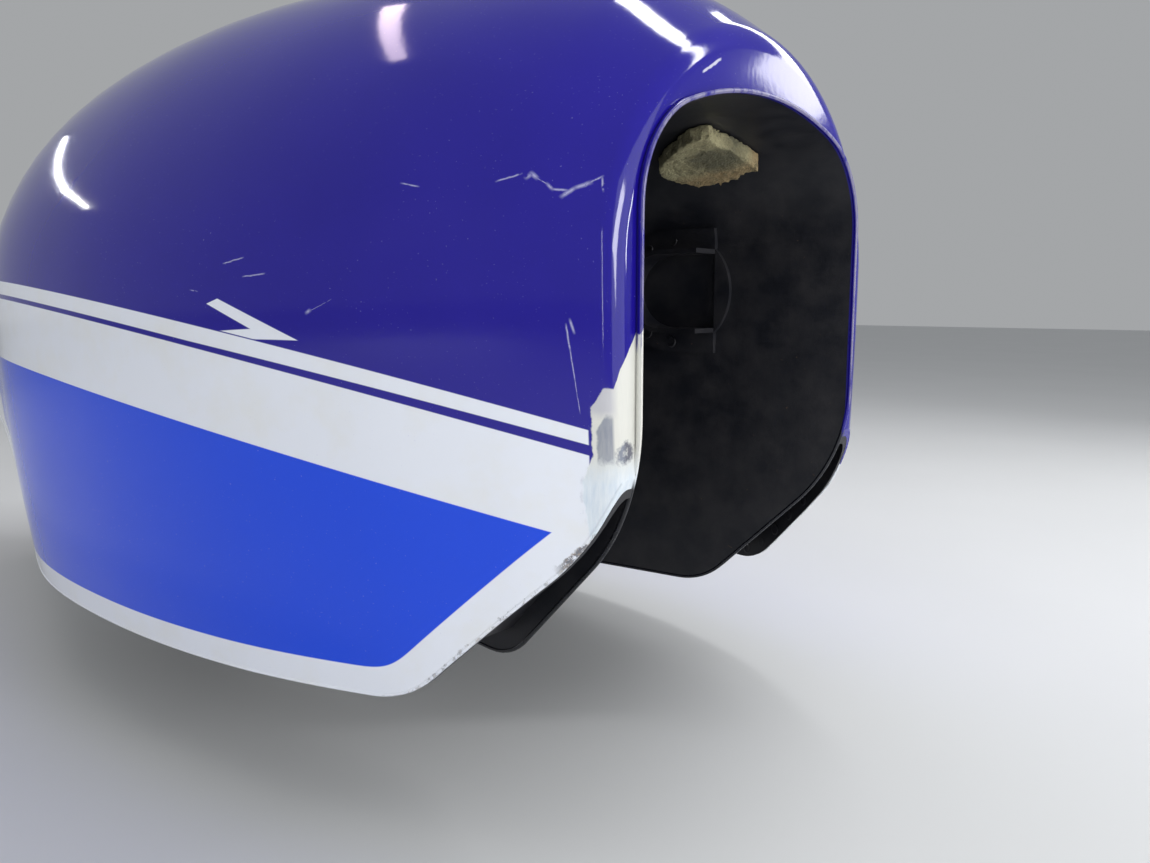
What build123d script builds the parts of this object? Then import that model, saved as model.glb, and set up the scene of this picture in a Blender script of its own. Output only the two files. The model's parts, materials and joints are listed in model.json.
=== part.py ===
from build123d import *
import math
import os

os.makedirs("parts", exist_ok=True)

# Motorcycle fuel tank, millimetres. +X forward, +Y to the left, +Z up.
# The origin is the middle of the rear bolt's bore.

# Body
WALL = 1.0
BODY_LENGTH = 560.0
REAR_BOLT_BEHIND = 30.0
FRONT_ROLL = 11.0
REAR_ROLL = 16.0
FRONT_X = BODY_LENGTH + REAR_BOLT_BEHIND

# Lower edge of the body, seen from the side: distances behind the front edge and heights
CORNER_Z = -65.0
FLOOR_Z = -128.0
FLOOR_FROM = 62.0
FLOOR_TO = 330.0
REAR_FLOOR_Z = -58.0
CORNER_R = 70.0
CHIN_R = 30.0
HEEL_R = 120.0
HEM = 8.0
LIP = 2.0
FOOT_Z = FLOOR_Z - 24.0

# Cross-sections: behind the front edge, half width, top, shoulder radius,
# height of the widest place, half width at FOOT_Z
STATIONS = [
    (0.0, 81.0, 88.0, 56.0, 12.0, 68.0),
    (28.0, 103.0, 107.0, 66.0, 14.0, 87.0),
    (70.0, 125.0, 120.0, 76.0, 10.0, 109.0),
    (132.0, 143.0, 130.0, 92.0, 2.0, 128.0),
    (208.0, 151.0, 134.0, 96.0, 2.0, 136.0),
    (290.0, 146.0, 129.0, 92.0, 2.0, 131.0),
    (375.0, 121.0, 115.0, 78.0, 6.0, 108.0),
    (465.0, 94.0, 90.0, 60.0, 8.0, 83.0),
    (BODY_LENGTH, 72.0, 56.0, 38.0, 0.0, 64.0),
]

# Longest stretch between two cross-sections of the body
STATION_STEP = 38.0

# Tunnel along the underside: behind the front edge, half width, roof, corner radius, crown
TUNNEL_OVERRUN = 12.0
TUNNEL = [
    (-TUNNEL_OVERRUN, 72.0, 69.0, 36.0, 6.0),
    (150.0, 50.0, 52.0, 30.0, 5.0),
    (BODY_LENGTH + TUNNEL_OVERRUN, 38.0, -16.0, 24.0, 4.0),
]

# Filler recess and neck, on the widest station
FILLER_BEHIND = STATIONS[4][0]
FILLER_TOP = STATIONS[4][2]
RECESS_R = 54.0
RECESS_DEPTH = 16.0
RECESS_CORNER_R = 5.0
NECK_R = 21.0
NECK_LENGTH = 26.0
FILLER_X = FRONT_X - FILLER_BEHIND
RECESS_Z = FILLER_TOP - RECESS_DEPTH

# Drain of the recess
DRAIN_R = 3.0
DRAIN_BORE_R = 2.0
DRAIN_BEHIND_FILLER = RECESS_R - RECESS_CORNER_R - DRAIN_R
DRAIN_END_Z = 16.0
DRAIN_SPIGOT = 12.0
DRAIN_BEAD_R = 4.0
DRAIN_BEAD_H = 2.0
FIT_GAP = 0.05

# Filler cap
RECESS_CLEARANCE = 5.0
LID_CLEARANCE = 1.0
RING_BORE_R = 25.0
RING_T = 5.0
LID_T = 8.0
LID_GAP = 0.4
LID_EDGE_R = 3.5
HINGE_RISE = 5.0
HINGE_R = 4.0
PIN_R = 2.0
PIN_GAP = 0.05
KNUCKLE_W = 15.2
LUG_W = 4.0
LUG_GAP = 0.4
SEAL_T = 3.0
SEAL_R = 23.0
SEAL_GAP = 0.3
PLUG_R = 14.0
PLUG_LENGTH = 18.0
BARREL_R = 8.0
BARREL_PROUD = 0.8
KEY_SLOT = (8.0, 1.6, 5.0)
LATCH = (10.0, 3.0, 1.5)
LATCH_DROP = 8.0
LATCH_SEAT = 6.0
PLUG_EDGE_R = 2.0
RING_EDGE_R = 1.5
LUG_LIFT = 1.0
HINGE_REACH = RECESS_R - RECESS_CLEARANCE - HINGE_R
RING_R = HINGE_REACH - LID_CLEARANCE
LID_R = HINGE_REACH - HINGE_R - LID_CLEARANCE
RING_TOP = RECESS_Z + RING_T
LID_Z = RING_TOP + LID_GAP
HINGE_X = FILLER_X + HINGE_REACH
HINGE_Z = RING_TOP + HINGE_RISE
RIM_Z = LID_Z - SEAL_T - SEAL_GAP

# Fuel tap, under the floor of the left lobe
TAP_BEHIND = 300.0
TAP_Y = 88.0
TAP_FLANGE = (52.0, 22.0, 4.0)
GASKET_T = 2.0
TAP_BARREL_R = 10.0
TAP_BARREL_H = 28.0
DRUM_R = 13.0
DRUM_DROP = 15.0
DRUM_REACH = 17.0
SPIGOT_R = 4.0
SPIGOT_BORE_R = 2.5
SPIGOT_LENGTH = 20.0
SPIGOT_CHAMFER = 1.0
FACE_PLATE_T = 1.5
LEVER_HUB_R = 7.8
LEVER_REACH = 7.0
LEVER_LENGTH = 30.0
LEVER_T = 4.0
STRAINER_R = 7.0
STRAINER_H = 46.0
STRAINER_HOLE_R = 8.0
LEVER_TIP_R = 4.0
DRUM_BACK = 6.0
TAP_X = FRONT_X - TAP_BEHIND
UNDER_Z = FLOOR_Z + HEM
TAP_FLANGE_Z = UNDER_Z - GASKET_T - TAP_FLANGE[2]

# Front guides inside the tunnel, with slots that are open to the front
GUIDE_BEHIND = 78.0
GUIDE_Z = 4.0
GUIDE_R = 16.0
GUIDE_T = 2.0
GUIDE_ARM = 20.0
GUIDE_Y = 46.0
GUIDE_FLANGE = 9.0

# Rear bracket with its rubber and sleeve
BRACKET_T = 3.0
BRACKET_W = 44.0
BRACKET_UP = 24.0
BRACKET_BEND_R = 5.0
GROMMET_HOLE_R = 10.0
GROMMET_R = 15.0
GROMMET_T = 11.0
SLEEVE_R = 6.3
SLEEVE_H = 13.0
BOLT_HOLE_R = 4.25
GROMMET_EDGE_R = 2.0

# Foam pad stuck under the tunnel's roof
PAD_T = 6.0
PAD_FROM = 26.0
PAD_LENGTH = 41.0
PAD_Y = 26.0
PAD_W = 40.0
PAD_LOW_Z = 38.0


def at(behind):
    """X of a place that lies this far behind the front edge."""
    return FRONT_X - behind


def arc_about(centre, radius, start, end, x):
    """Arc in the plane X = x, between two angles in degrees, measured from +Y towards +Z."""
    middle = (start + end) / 2

    def point(angle):
        a = math.radians(angle)
        return (x, centre[0] + radius * math.cos(a), centre[1] + radius * math.sin(a))

    return ThreePointArc(point(start), point(middle), point(end))


def body_section(behind, half_width, top, shoulder_r, waist_z, foot, inset=0.0):
    """Outline across the body: crown, shoulders and bowed sides, each tangent to the next."""
    x = at(behind)
    bow = half_width - foot
    drop = waist_z - FOOT_Z
    side_r = (bow**2 + drop**2) / (2 * bow)
    reach = half_width - shoulder_r
    rise = top - waist_z
    crown_r = (reach**2 + rise**2 - shoulder_r**2) / (2 * (rise - shoulder_r))
    turn = math.degrees(math.atan2(waist_z - (top - crown_r), reach))
    foot_turn = math.degrees(math.asin(drop / (side_r - inset)))
    left_crown = arc_about((0, top - crown_r), crown_r - inset, turn, 90, x)
    right_crown = arc_about((0, top - crown_r), crown_r - inset, 90, 180 - turn, x)
    left_shoulder = arc_about((reach, waist_z), shoulder_r - inset, 0, turn, x)
    right_shoulder = arc_about((-reach, waist_z), shoulder_r - inset, 180 - turn, 180, x)
    side_y = half_width - side_r
    left_side = arc_about((side_y, waist_z), side_r - inset, -foot_turn, 0, x)
    right_side = arc_about((-side_y, waist_z), side_r - inset, 180, 180 + foot_turn, x)
    bottom = Line(right_side @ 1, left_side @ 0)
    left = [left_side, left_shoulder, left_crown]
    right = [right_crown, right_shoulder, right_side]
    return Wire([bottom, *left, *right])


def table_rows(rows, step):
    """Rows of a table with smooth rows put in between, no further apart than step.

    Each column runs through its values as a curve whose slope at a row is the slope
    from the row before to the row after.
    """
    slopes = []
    for number in range(len(rows)):
        before = rows[max(number - 1, 0)]
        after = rows[min(number + 1, len(rows) - 1)]
        slopes.append([(b - a) / (after[0] - before[0]) for a, b in zip(before, after)])
    finer = [rows[0]]
    for number in range(len(rows) - 1):
        low, high = rows[number], rows[number + 1]
        length = high[0] - low[0]
        count = math.ceil(length / step)
        for part in range(1, count):
            t = part / count
            row = []
            for a, b, p, q in zip(low, high, slopes[number], slopes[number + 1]):
                rise = (3 - 2 * t) * t**2
                row.append(
                    a * (1 - rise) + b * rise
                    + length * (p * t * (1 - t) ** 2 - q * t**2 * (1 - t))
                )
            finer.append(tuple(row))
        finer.append(high)
    return finer


def body(inset=0.0):
    """Solid body, moved inwards all round by inset, with its rolled front and rear edges."""
    rows = table_rows(STATIONS, STATION_STEP)
    wires = []
    for number, (behind, *sizes) in enumerate(rows):
        if number == 0:
            behind += inset
        if number == len(rows) - 1:
            behind -= inset
        wires.append(body_section(behind, *sizes, inset))
    solid = Solid.make_loft(wires, ruled=True)
    front = solid.faces().sort_by(Axis.X)[-1]
    solid = fillet(front.edges(), FRONT_ROLL - inset)
    rear = solid.faces().sort_by(Axis.X)[0]
    return fillet(rear.edges(), REAR_ROLL - inset)


def tunnel_section(behind, half_width, roof, corner_r, crown, grow=0.0):
    """Outline of the tunnel: upright walls, round corners and a crowned roof."""
    x = at(behind)
    reach = half_width - corner_r
    centre_z = roof - crown - corner_r
    roof_r = (reach**2 + (corner_r + crown) ** 2 - corner_r**2) / (2 * crown)
    turn = math.degrees(math.atan2(centre_z - (roof - roof_r), reach))
    top = arc_about((0, roof - roof_r), roof_r + grow, turn, 180 - turn, x)
    left_corner = arc_about((reach, centre_z), corner_r + grow, 0, turn, x)
    right_corner = arc_about((-reach, centre_z), corner_r + grow, 180 - turn, 180, x)
    low = FOOT_Z - HEM
    left_wall = Line((x, half_width + grow, low), left_corner @ 0)
    right_wall = Line(right_corner @ 1, (x, -half_width - grow, low))
    bottom = Line(right_wall @ 1, left_wall @ 0)
    return Wire([bottom, left_wall, left_corner, top, right_corner, right_wall])


def tunnel(grow=0.0):
    """The tunnel's space, moved outwards by grow."""
    return Solid.make_loft([tunnel_section(*row, grow) for row in TUNNEL], ruled=True)


def side_region(hem=0.0):
    """Everything above the body's lower edge, moved up into the body by hem.

    With a hem, the region runs on past both ends of the body along its slanted edges.
    """
    far_up = 2 * FILLER_TOP
    beyond = LIP + 3 * hem
    rear = BODY_LENGTH + beyond
    front_slope = (CORNER_Z - FLOOR_Z) / (FLOOR_FROM + LIP)
    rear_slope = (REAR_FLOOR_Z - FLOOR_Z) / (BODY_LENGTH + LIP - FLOOR_TO)
    corners = [
        (at(-beyond), far_up),
        (at(-beyond), FLOOR_Z + front_slope * (FLOOR_FROM + beyond)),
        (at(FLOOR_FROM), FLOOR_Z),
        (at(FLOOR_TO), FLOOR_Z),
        (at(rear), FLOOR_Z + rear_slope * (rear - FLOOR_TO)),
        (at(rear), far_up),
    ]
    sketch = make_face(Polyline(*corners, close=True))
    for place, radius in ((1, CORNER_R), (2, CHIN_R), (3, HEEL_R)):
        corner = sketch.vertices().sort_by_distance((*corners[place], 0))[0]
        sketch = fillet(corner, radius)
    if hem:
        sketch = offset(sketch, -hem, kind=Kind.INTERSECTION)
    width = 4 * STATIONS[4][1]
    return extrude(Plane.XZ * sketch, width / 2, both=True)


OUTER = body()
INNER = body(WALL)
INNER_HEM = body(2 * WALL)
TUNNEL_SPACE = tunnel()
TUNNEL_SHEET = tunnel(WALL)


def recess_hole():
    """Round opening of the top pressings for the filler recess."""
    return Pos(FILLER_X, 0, RECESS_Z) * Cylinder(RECESS_R, 4 * RECESS_DEPTH)


def skin():
    """Outer pressing before it is split along the middle."""
    shell = (OUTER - INNER) & side_region()
    return shell - TUNNEL_SHEET - recess_hole()


def half(solid, side):
    """The part of a solid on one side of the middle plane; side is +1 for left, -1 for right."""
    span = 2 * BODY_LENGTH
    return solid & Pos(FRONT_X / 2, side * span / 2, 0) * Box(2 * span, span, span)


def base_plate():
    """Tunnel and floor pressing, with the flange that is welded inside the skin's lower edge."""
    above_floor = side_region(HEM + WALL)
    under_floor = INNER_HEM - side_region(HEM)
    floor = (INNER & side_region()) - above_floor - under_floor - tunnel(WALL / 2)
    channel = (TUNNEL_SHEET - TUNNEL_SPACE) & side_region()
    plate = channel + floor
    plate -= Pos(FILLER_X - DRAIN_BEHIND_FILLER, 0, 0) * Cylinder(DRAIN_R + FIT_GAP, 2 * FILLER_TOP)
    plate -= Pos(TAP_X, TAP_Y, UNDER_Z) * Cylinder(STRAINER_HOLE_R, 4 * HEM)
    return plate


def ring(x, y, z, outer_r, inner_r, height):
    """Upright ring that stands on z."""
    standing = (Align.CENTER, Align.CENTER, Align.MIN)
    bored = Cylinder(outer_r, height, align=standing) - Cylinder(inner_r, height, align=standing)
    return Pos(x, y, z) * bored


def rod_y(x, y, z, radius, length):
    """Cylinder along Y, centred on its place."""
    return Pos(x, y, z) * Rot(90, 0, 0) * Cylinder(radius, length)


def filler_recess():
    """Dished recess with a hole for the neck, flush with the body's top."""
    hole_r = NECK_R + WALL + FIT_GAP
    outline = Polyline(
        (hole_r, RECESS_Z - WALL),
        (RECESS_R, RECESS_Z - WALL),
        (RECESS_R, RECESS_Z + 2 * RECESS_DEPTH),
        (RECESS_R - WALL, RECESS_Z + 2 * RECESS_DEPTH),
        (RECESS_R - WALL, RECESS_Z),
        (hole_r, RECESS_Z),
        close=True,
    )
    profile = make_face(outline)
    inner_corner = profile.vertices().sort_by_distance((RECESS_R - WALL, RECESS_Z, 0))[0]
    profile = fillet(inner_corner, RECESS_CORNER_R - WALL)
    outer_corner = profile.vertices().sort_by_distance((RECESS_R, RECESS_Z - WALL, 0))[0]
    profile = fillet(outer_corner, RECESS_CORNER_R)
    dish = Pos(FILLER_X, 0, 0) * revolve(Plane.XZ * profile, Axis.Z)
    drain_x = FILLER_X - DRAIN_BEHIND_FILLER
    return (dish & OUTER) - Pos(drain_x, 0, RECESS_Z) * Cylinder(DRAIN_BORE_R, 4 * WALL)


def filler_neck():
    """Neck tube through the recess, whose rim the cap's seal closes."""
    low = RECESS_Z - NECK_LENGTH
    return ring(FILLER_X, 0, low, NECK_R + WALL, NECK_R, RIM_Z - low)


def drain_pipe():
    """Pipe from the recess down through the tunnel's roof to a spigot with a bead for a hose."""
    x = FILLER_X - DRAIN_BEHIND_FILLER
    pipe = ring(x, 0, DRAIN_END_Z, DRAIN_R, DRAIN_BORE_R, RECESS_Z - WALL - DRAIN_END_Z)
    bead_z = DRAIN_END_Z + DRAIN_SPIGOT
    return pipe + ring(x, 0, bead_z, DRAIN_BEAD_R, DRAIN_BORE_R, DRAIN_BEAD_H)


def cap_ring():
    """Ring of the filler cap with two hinge lugs at its front."""
    base = ring(FILLER_X, 0, RECESS_Z, RING_R, RING_BORE_R, RING_T)
    base = fillet(base.edges().group_by(Axis.Z)[-1], RING_EDGE_R)
    for side in (-1, 1):
        y = side * (KNUCKLE_W / 2 + LUG_GAP + LUG_W / 2)
        base += rod_y(HINGE_X, y, HINGE_Z, HINGE_R, LUG_W)
        low = RECESS_Z + LUG_LIFT
        post = Box(2 * HINGE_R, LUG_W, HINGE_Z - low, align=(Align.CENTER, Align.CENTER, Align.MIN))
        base += Pos(HINGE_X, y, low) * post
    drain_x = FILLER_X - DRAIN_BEHIND_FILLER
    base -= Pos(drain_x, 0, RECESS_Z) * Cylinder(DRAIN_BORE_R + 1, 4 * RING_T)
    return base - rod_y(HINGE_X, 0, HINGE_Z, PIN_R, RING_R)


def cap_hinge_pin():
    """Pin of the cap's hinge, fast in the lugs."""
    length = KNUCKLE_W + 2 * (LUG_GAP + LUG_W)
    return rod_y(HINGE_X, 0, HINGE_Z, PIN_R, length)


def cap_lid():
    """Round lid with its knuckle, bored for the lock barrel."""
    standing = (Align.CENTER, Align.CENTER, Align.MIN)
    disc = Pos(FILLER_X, 0, LID_Z) * Cylinder(LID_R, LID_T, align=standing)
    disc = fillet(disc.edges().group_by(Axis.Z)[-1], LID_EDGE_R)
    arm_length = HINGE_REACH - LID_R + 3 * LID_EDGE_R
    arm = Box(arm_length, KNUCKLE_W, HINGE_Z - LID_Z, align=(Align.MAX, Align.CENTER, Align.MIN))
    lid = disc + Pos(HINGE_X, 0, LID_Z) * arm
    lid += rod_y(HINGE_X, 0, HINGE_Z, HINGE_R, KNUCKLE_W)
    lid -= rod_y(HINGE_X, 0, HINGE_Z, PIN_R + PIN_GAP, 2 * KNUCKLE_W)
    return lid - Pos(FILLER_X, 0, LID_Z) * Cylinder(BARREL_R, 4 * LID_T)


def cap_lock_barrel():
    """Lock barrel with its key slot, standing a little proud of the lid."""
    height = LID_T + BARREL_PROUD
    standing = (Align.CENTER, Align.CENTER, Align.MIN)
    barrel = Pos(FILLER_X, 0, LID_Z) * Cylinder(BARREL_R, height, align=standing)
    slot = Box(*KEY_SLOT, align=(Align.CENTER, Align.CENTER, Align.MAX))
    return barrel - Pos(FILLER_X, 0, LID_Z + height) * slot


def cap_plug():
    """Round plug under the lid that fills the neck."""
    hanging = (Align.CENTER, Align.CENTER, Align.MAX)
    plug = Pos(FILLER_X, 0, LID_Z) * Cylinder(PLUG_R, PLUG_LENGTH, align=hanging)
    plug = fillet(plug.edges().group_by(Axis.Z)[0], PLUG_EDGE_R)
    length, width, _ = LATCH
    x = FILLER_X - PLUG_R + LATCH_SEAT / 2
    return plug - Pos(x, 0, LID_Z - LATCH_DROP) * Box(LATCH_SEAT, length, width)


def cap_latch():
    """Spring latch at the rear of the plug, drawn in as by its key."""
    length, width, reach = LATCH
    x = FILLER_X - PLUG_R + LATCH_SEAT
    tongue = Box(LATCH_SEAT + reach, length, width, align=(Align.MAX, Align.CENTER, Align.CENTER))
    return Pos(x, 0, LID_Z - LATCH_DROP) * tongue


def cap_seal():
    """Rubber ring under the lid that closes on the neck's rim."""
    return ring(FILLER_X, 0, LID_Z - SEAL_T, SEAL_R, PLUG_R, SEAL_T)


def stadium(z, bore_r, height):
    """Long plate with round ends that stands on z, over the tap's place."""
    length, width, _ = TAP_FLANGE
    outline = SlotOverall(length, width) - Circle(bore_r)
    return Pos(TAP_X, TAP_Y, z) * extrude(outline, height)


def tap_gasket():
    """Gasket between the tap and the floor."""
    return stadium(UNDER_Z - GASKET_T, STRAINER_HOLE_R, GASKET_T)


def tap_body():
    """Tap with its flange, barrel, side drum and hose spigot."""
    flange_t = TAP_FLANGE[2]
    hanging = (Align.CENTER, Align.CENTER, Align.MAX)
    tap = stadium(TAP_FLANGE_Z, STRAINER_R, flange_t)
    tap += Pos(TAP_X, TAP_Y, TAP_FLANGE_Z) * Cylinder(TAP_BARREL_R, TAP_BARREL_H, align=hanging)
    drum_y = TAP_Y + (DRUM_REACH - DRUM_BACK) / 2
    drum_z = TAP_FLANGE_Z - DRUM_DROP
    tap += rod_y(TAP_X, drum_y, drum_z, DRUM_R, DRUM_REACH + DRUM_BACK)
    spigot_z = TAP_FLANGE_Z - TAP_BARREL_H
    spigot = Cylinder(SPIGOT_R, SPIGOT_LENGTH, align=hanging)
    spigot = chamfer(spigot.edges().group_by(Axis.Z)[0], SPIGOT_CHAMFER)
    tap += Pos(TAP_X, TAP_Y, spigot_z) * spigot
    deep = SPIGOT_LENGTH + TAP_BARREL_H / 3
    tap -= Pos(TAP_X, TAP_Y, spigot_z - SPIGOT_LENGTH) * Cylinder(
        SPIGOT_BORE_R, deep, align=(Align.CENTER, Align.CENTER, Align.MIN)
    )
    return tap


def tap_strainer():
    """Strainer tube that stands in the fuel above the tap."""
    height = TAP_FLANGE[2] + GASKET_T + STRAINER_H
    standing = (Align.CENTER, Align.CENTER, Align.MIN)
    tube = Pos(TAP_X, TAP_Y, TAP_FLANGE_Z) * Cylinder(STRAINER_R, height, align=standing)
    return fillet(tube.edges().group_by(Axis.Z)[-1], STRAINER_R / 3)


def tap_face_plate():
    """Round plate that holds the lever in the tap's drum."""
    y = TAP_Y + DRUM_REACH + FACE_PLATE_T / 2
    plate = rod_y(TAP_X, y, TAP_FLANGE_Z - DRUM_DROP, DRUM_R, FACE_PLATE_T)
    return plate - rod_y(TAP_X, y, TAP_FLANGE_Z - DRUM_DROP, LEVER_HUB_R, 2 * FACE_PLATE_T)


def tap_lever():
    """Lever of the tap, pointing down."""
    z = TAP_FLANGE_Z - DRUM_DROP
    y = TAP_Y + DRUM_REACH
    hub = rod_y(TAP_X, y + LEVER_REACH / 2, z, LEVER_HUB_R - FIT_GAP, LEVER_REACH)
    arm = make_face(
        Polyline(
            (-LEVER_HUB_R + 1, 0),
            (-LEVER_TIP_R, -LEVER_LENGTH),
            (LEVER_TIP_R, -LEVER_LENGTH),
            (LEVER_HUB_R - 1, 0),
            close=True,
        )
    )
    arm += Pos(0, -LEVER_LENGTH) * Circle(LEVER_TIP_R)
    arm = extrude(arm, LEVER_T)
    return hub + Pos(TAP_X, y + LEVER_REACH, z) * Rot(90, 0, 0) * arm


def guide_outline(radius):
    """Outline of the guide seen from the side: a half circle with straight arms to the front."""
    return Pos(GUIDE_ARM / 2, 0) * Rectangle(GUIDE_ARM, 2 * radius) + Circle(radius)


def front_guide(side):
    """Pressed guide on the tunnel's wall, open to the front; side is +1 for left."""
    outer_r = GUIDE_R + GUIDE_T
    flange_r = outer_r + GUIDE_FLANGE
    place = Pos(at(GUIDE_BEHIND), GUIDE_Y, GUIDE_Z)
    far = 2 * TUNNEL[0][1]
    blank = extrude(Plane.XZ * (guide_outline(flange_r) - guide_outline(GUIDE_R)), -far)
    around = Circle(3 * flange_r) - guide_outline(outer_r)
    above_flange = (place * extrude(Plane.XZ * around, -far)) & tunnel(-GUIDE_T)
    guide = (place * blank & TUNNEL_SPACE) - above_flange
    return guide if side > 0 else mirror(guide, Plane.XZ)


def rear_bracket():
    """Bent bracket welded on the rear face, with the hole for the rubber."""
    face_x = at(BODY_LENGTH)
    tab = Rectangle(face_x, BRACKET_W, align=(Align.MIN, Align.CENTER)) + Circle(BRACKET_W / 2)
    tab -= Circle(GROMMET_HOLE_R)
    tab = Pos(0, 0, -BRACKET_T / 2) * extrude(tab, BRACKET_T)
    low = -BRACKET_T / 2
    upright = Box(
        BRACKET_T,
        BRACKET_W,
        BRACKET_UP,
        align=(Align.MAX, Align.CENTER, Align.MIN),
    )
    bracket = tab + Pos(face_x, 0, low) * upright
    inner = bracket.edges().filter_by(Axis.Y).sort_by_distance(
        (face_x - BRACKET_T, 0, BRACKET_T / 2)
    )[0]
    return fillet(inner, BRACKET_BEND_R)


def rear_grommet():
    """Rubber spool in the bracket's hole."""
    spool = Pos(0, 0, -GROMMET_T / 2) * ring(0, 0, 0, GROMMET_R, SLEEVE_R, GROMMET_T)
    groove = ring(0, 0, -BRACKET_T / 2, 2 * GROMMET_R, GROMMET_HOLE_R, BRACKET_T)
    spool -= groove
    ends = [spool.edges().group_by(Axis.Z)[k].sort_by(SortBy.LENGTH)[-1] for k in (0, -1)]
    return fillet(ends, GROMMET_EDGE_R)


def rear_sleeve():
    """Steel sleeve in the rubber, bored for the rear bolt."""
    return ring(0, 0, -SLEEVE_H / 2, SLEEVE_R, BOLT_HOLE_R, SLEEVE_H)


def tunnel_pad():
    """Foam pad under the tunnel's roof, just behind its mouth."""
    layer = TUNNEL_SPACE - tunnel(-PAD_T)
    block = Box(PAD_LENGTH, PAD_W, TUNNEL[0][2], align=(Align.MAX, Align.CENTER, Align.MIN))
    return layer & Pos(at(PAD_FROM), PAD_Y, PAD_LOW_Z) * block


SKIN_LEFT = half(skin(), 1)

PIECES = {
    "skin_left": SKIN_LEFT,
    "skin_right": mirror(SKIN_LEFT, Plane.XZ),
    "base_plate": base_plate(),
    "filler_recess": filler_recess(),
    "filler_neck": filler_neck(),
    "drain_pipe": drain_pipe(),
    "cap_ring": cap_ring(),
    "cap_hinge_pin": cap_hinge_pin(),
    "cap_lid": cap_lid(),
    "cap_lock_barrel": cap_lock_barrel(),
    "cap_plug": cap_plug(),
    "cap_latch": cap_latch(),
    "cap_seal": cap_seal(),
    "tap_gasket": tap_gasket(),
    "tap_body": tap_body(),
    "tap_strainer": tap_strainer(),
    "tap_face_plate": tap_face_plate(),
    "tap_lever": tap_lever(),
    "front_guide_left": front_guide(1),
    "front_guide_right": front_guide(-1),
    "rear_bracket": rear_bracket(),
    "rear_grommet": rear_grommet(),
    "rear_sleeve": rear_sleeve(),
    "tunnel_pad": tunnel_pad(),
}

for name, piece in PIECES.items():
    export_step(piece, f"parts/{name}.step")
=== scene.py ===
import json
import math

import bmesh
import bpy
import numpy as np
from mathutils import Matrix, Vector, noise


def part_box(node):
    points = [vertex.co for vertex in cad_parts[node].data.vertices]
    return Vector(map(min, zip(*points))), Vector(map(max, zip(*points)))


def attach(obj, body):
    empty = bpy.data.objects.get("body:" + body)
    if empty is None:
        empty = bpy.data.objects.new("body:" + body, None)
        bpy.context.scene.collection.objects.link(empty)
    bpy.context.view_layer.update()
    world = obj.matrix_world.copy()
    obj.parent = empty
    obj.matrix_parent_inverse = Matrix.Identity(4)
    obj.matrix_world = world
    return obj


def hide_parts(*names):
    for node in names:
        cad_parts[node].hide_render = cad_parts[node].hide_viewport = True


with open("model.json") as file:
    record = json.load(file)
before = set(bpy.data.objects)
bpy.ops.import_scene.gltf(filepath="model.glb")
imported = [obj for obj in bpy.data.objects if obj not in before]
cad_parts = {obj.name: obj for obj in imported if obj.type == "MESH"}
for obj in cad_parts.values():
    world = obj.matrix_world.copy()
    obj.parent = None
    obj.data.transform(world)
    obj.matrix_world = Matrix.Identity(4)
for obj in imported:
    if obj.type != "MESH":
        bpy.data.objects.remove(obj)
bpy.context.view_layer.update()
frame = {"nodes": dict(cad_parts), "record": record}

# Sizes in metres, placed as the CAD model is: +X forward, +Y to the left, +Z up.
# "Behind" is the distance behind the tank's front edge.
MM = 0.001
WALL = 1.0 * MM
LIP = 2.0 * MM
FRONT_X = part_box("skin_left")[1].x
REAR_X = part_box("skin_left")[0].x
BODY_LENGTH = FRONT_X - REAR_X
FRONT_ROLL = 11.0 * MM
REAR_ROLL = 16.0 * MM

# Cross-sections: behind, half width, top, shoulder radius, height of the widest place,
# half width at FOOT_Z
STATIONS = MM * np.array([
    (0, 81, 88, 56, 12, 68),
    (28, 103, 107, 66, 14, 87),
    (70, 125, 120, 76, 10, 109),
    (132, 143, 130, 92, 2, 128),
    (208, 151, 134, 96, 2, 136),
    (290, 146, 129, 92, 2, 131),
    (375, 121, 115, 78, 6, 108),
    (465, 94, 90, 60, 8, 83),
    (560, 72, 56, 38, 0, 64),
])

# Lower edge of the body, seen from the side
CORNER_Z = -65.0 * MM
FLOOR_Z = -128.0 * MM
REAR_FLOOR_Z = -58.0 * MM
FLOOR_FROM = 62.0 * MM
FLOOR_TO = 330.0 * MM
CORNER_R = 70.0 * MM
CHIN_R = 30.0 * MM
HEEL_R = 120.0 * MM
HEM = 8.0 * MM
FOOT_Z = FLOOR_Z - 24.0 * MM

# Tunnel along the underside: behind, half width, roof, corner radius, crown
TUNNEL = MM * np.array([
    (-12, 72, 69, 36, 6),
    (150, 50, 52, 30, 5),
    (572, 38, -16, 24, 4),
])


def middle_of(node_name):
    """Middle of a CAD node's box."""
    low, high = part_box(node_name)
    return (low + high) / 2


# Filler recess
RECESS_R = 54.0 * MM
RECESS_BORDER = 62.0 * MM
FILLER_X = middle_of("filler_neck").x
NECK_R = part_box("filler_neck")[1].x - FILLER_X
RECESS_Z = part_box("cap_ring")[0].z
DRAIN_X = middle_of("drain_pipe").x
DRAIN_BORE_R = 2.0 * MM


# The body's surface


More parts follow.
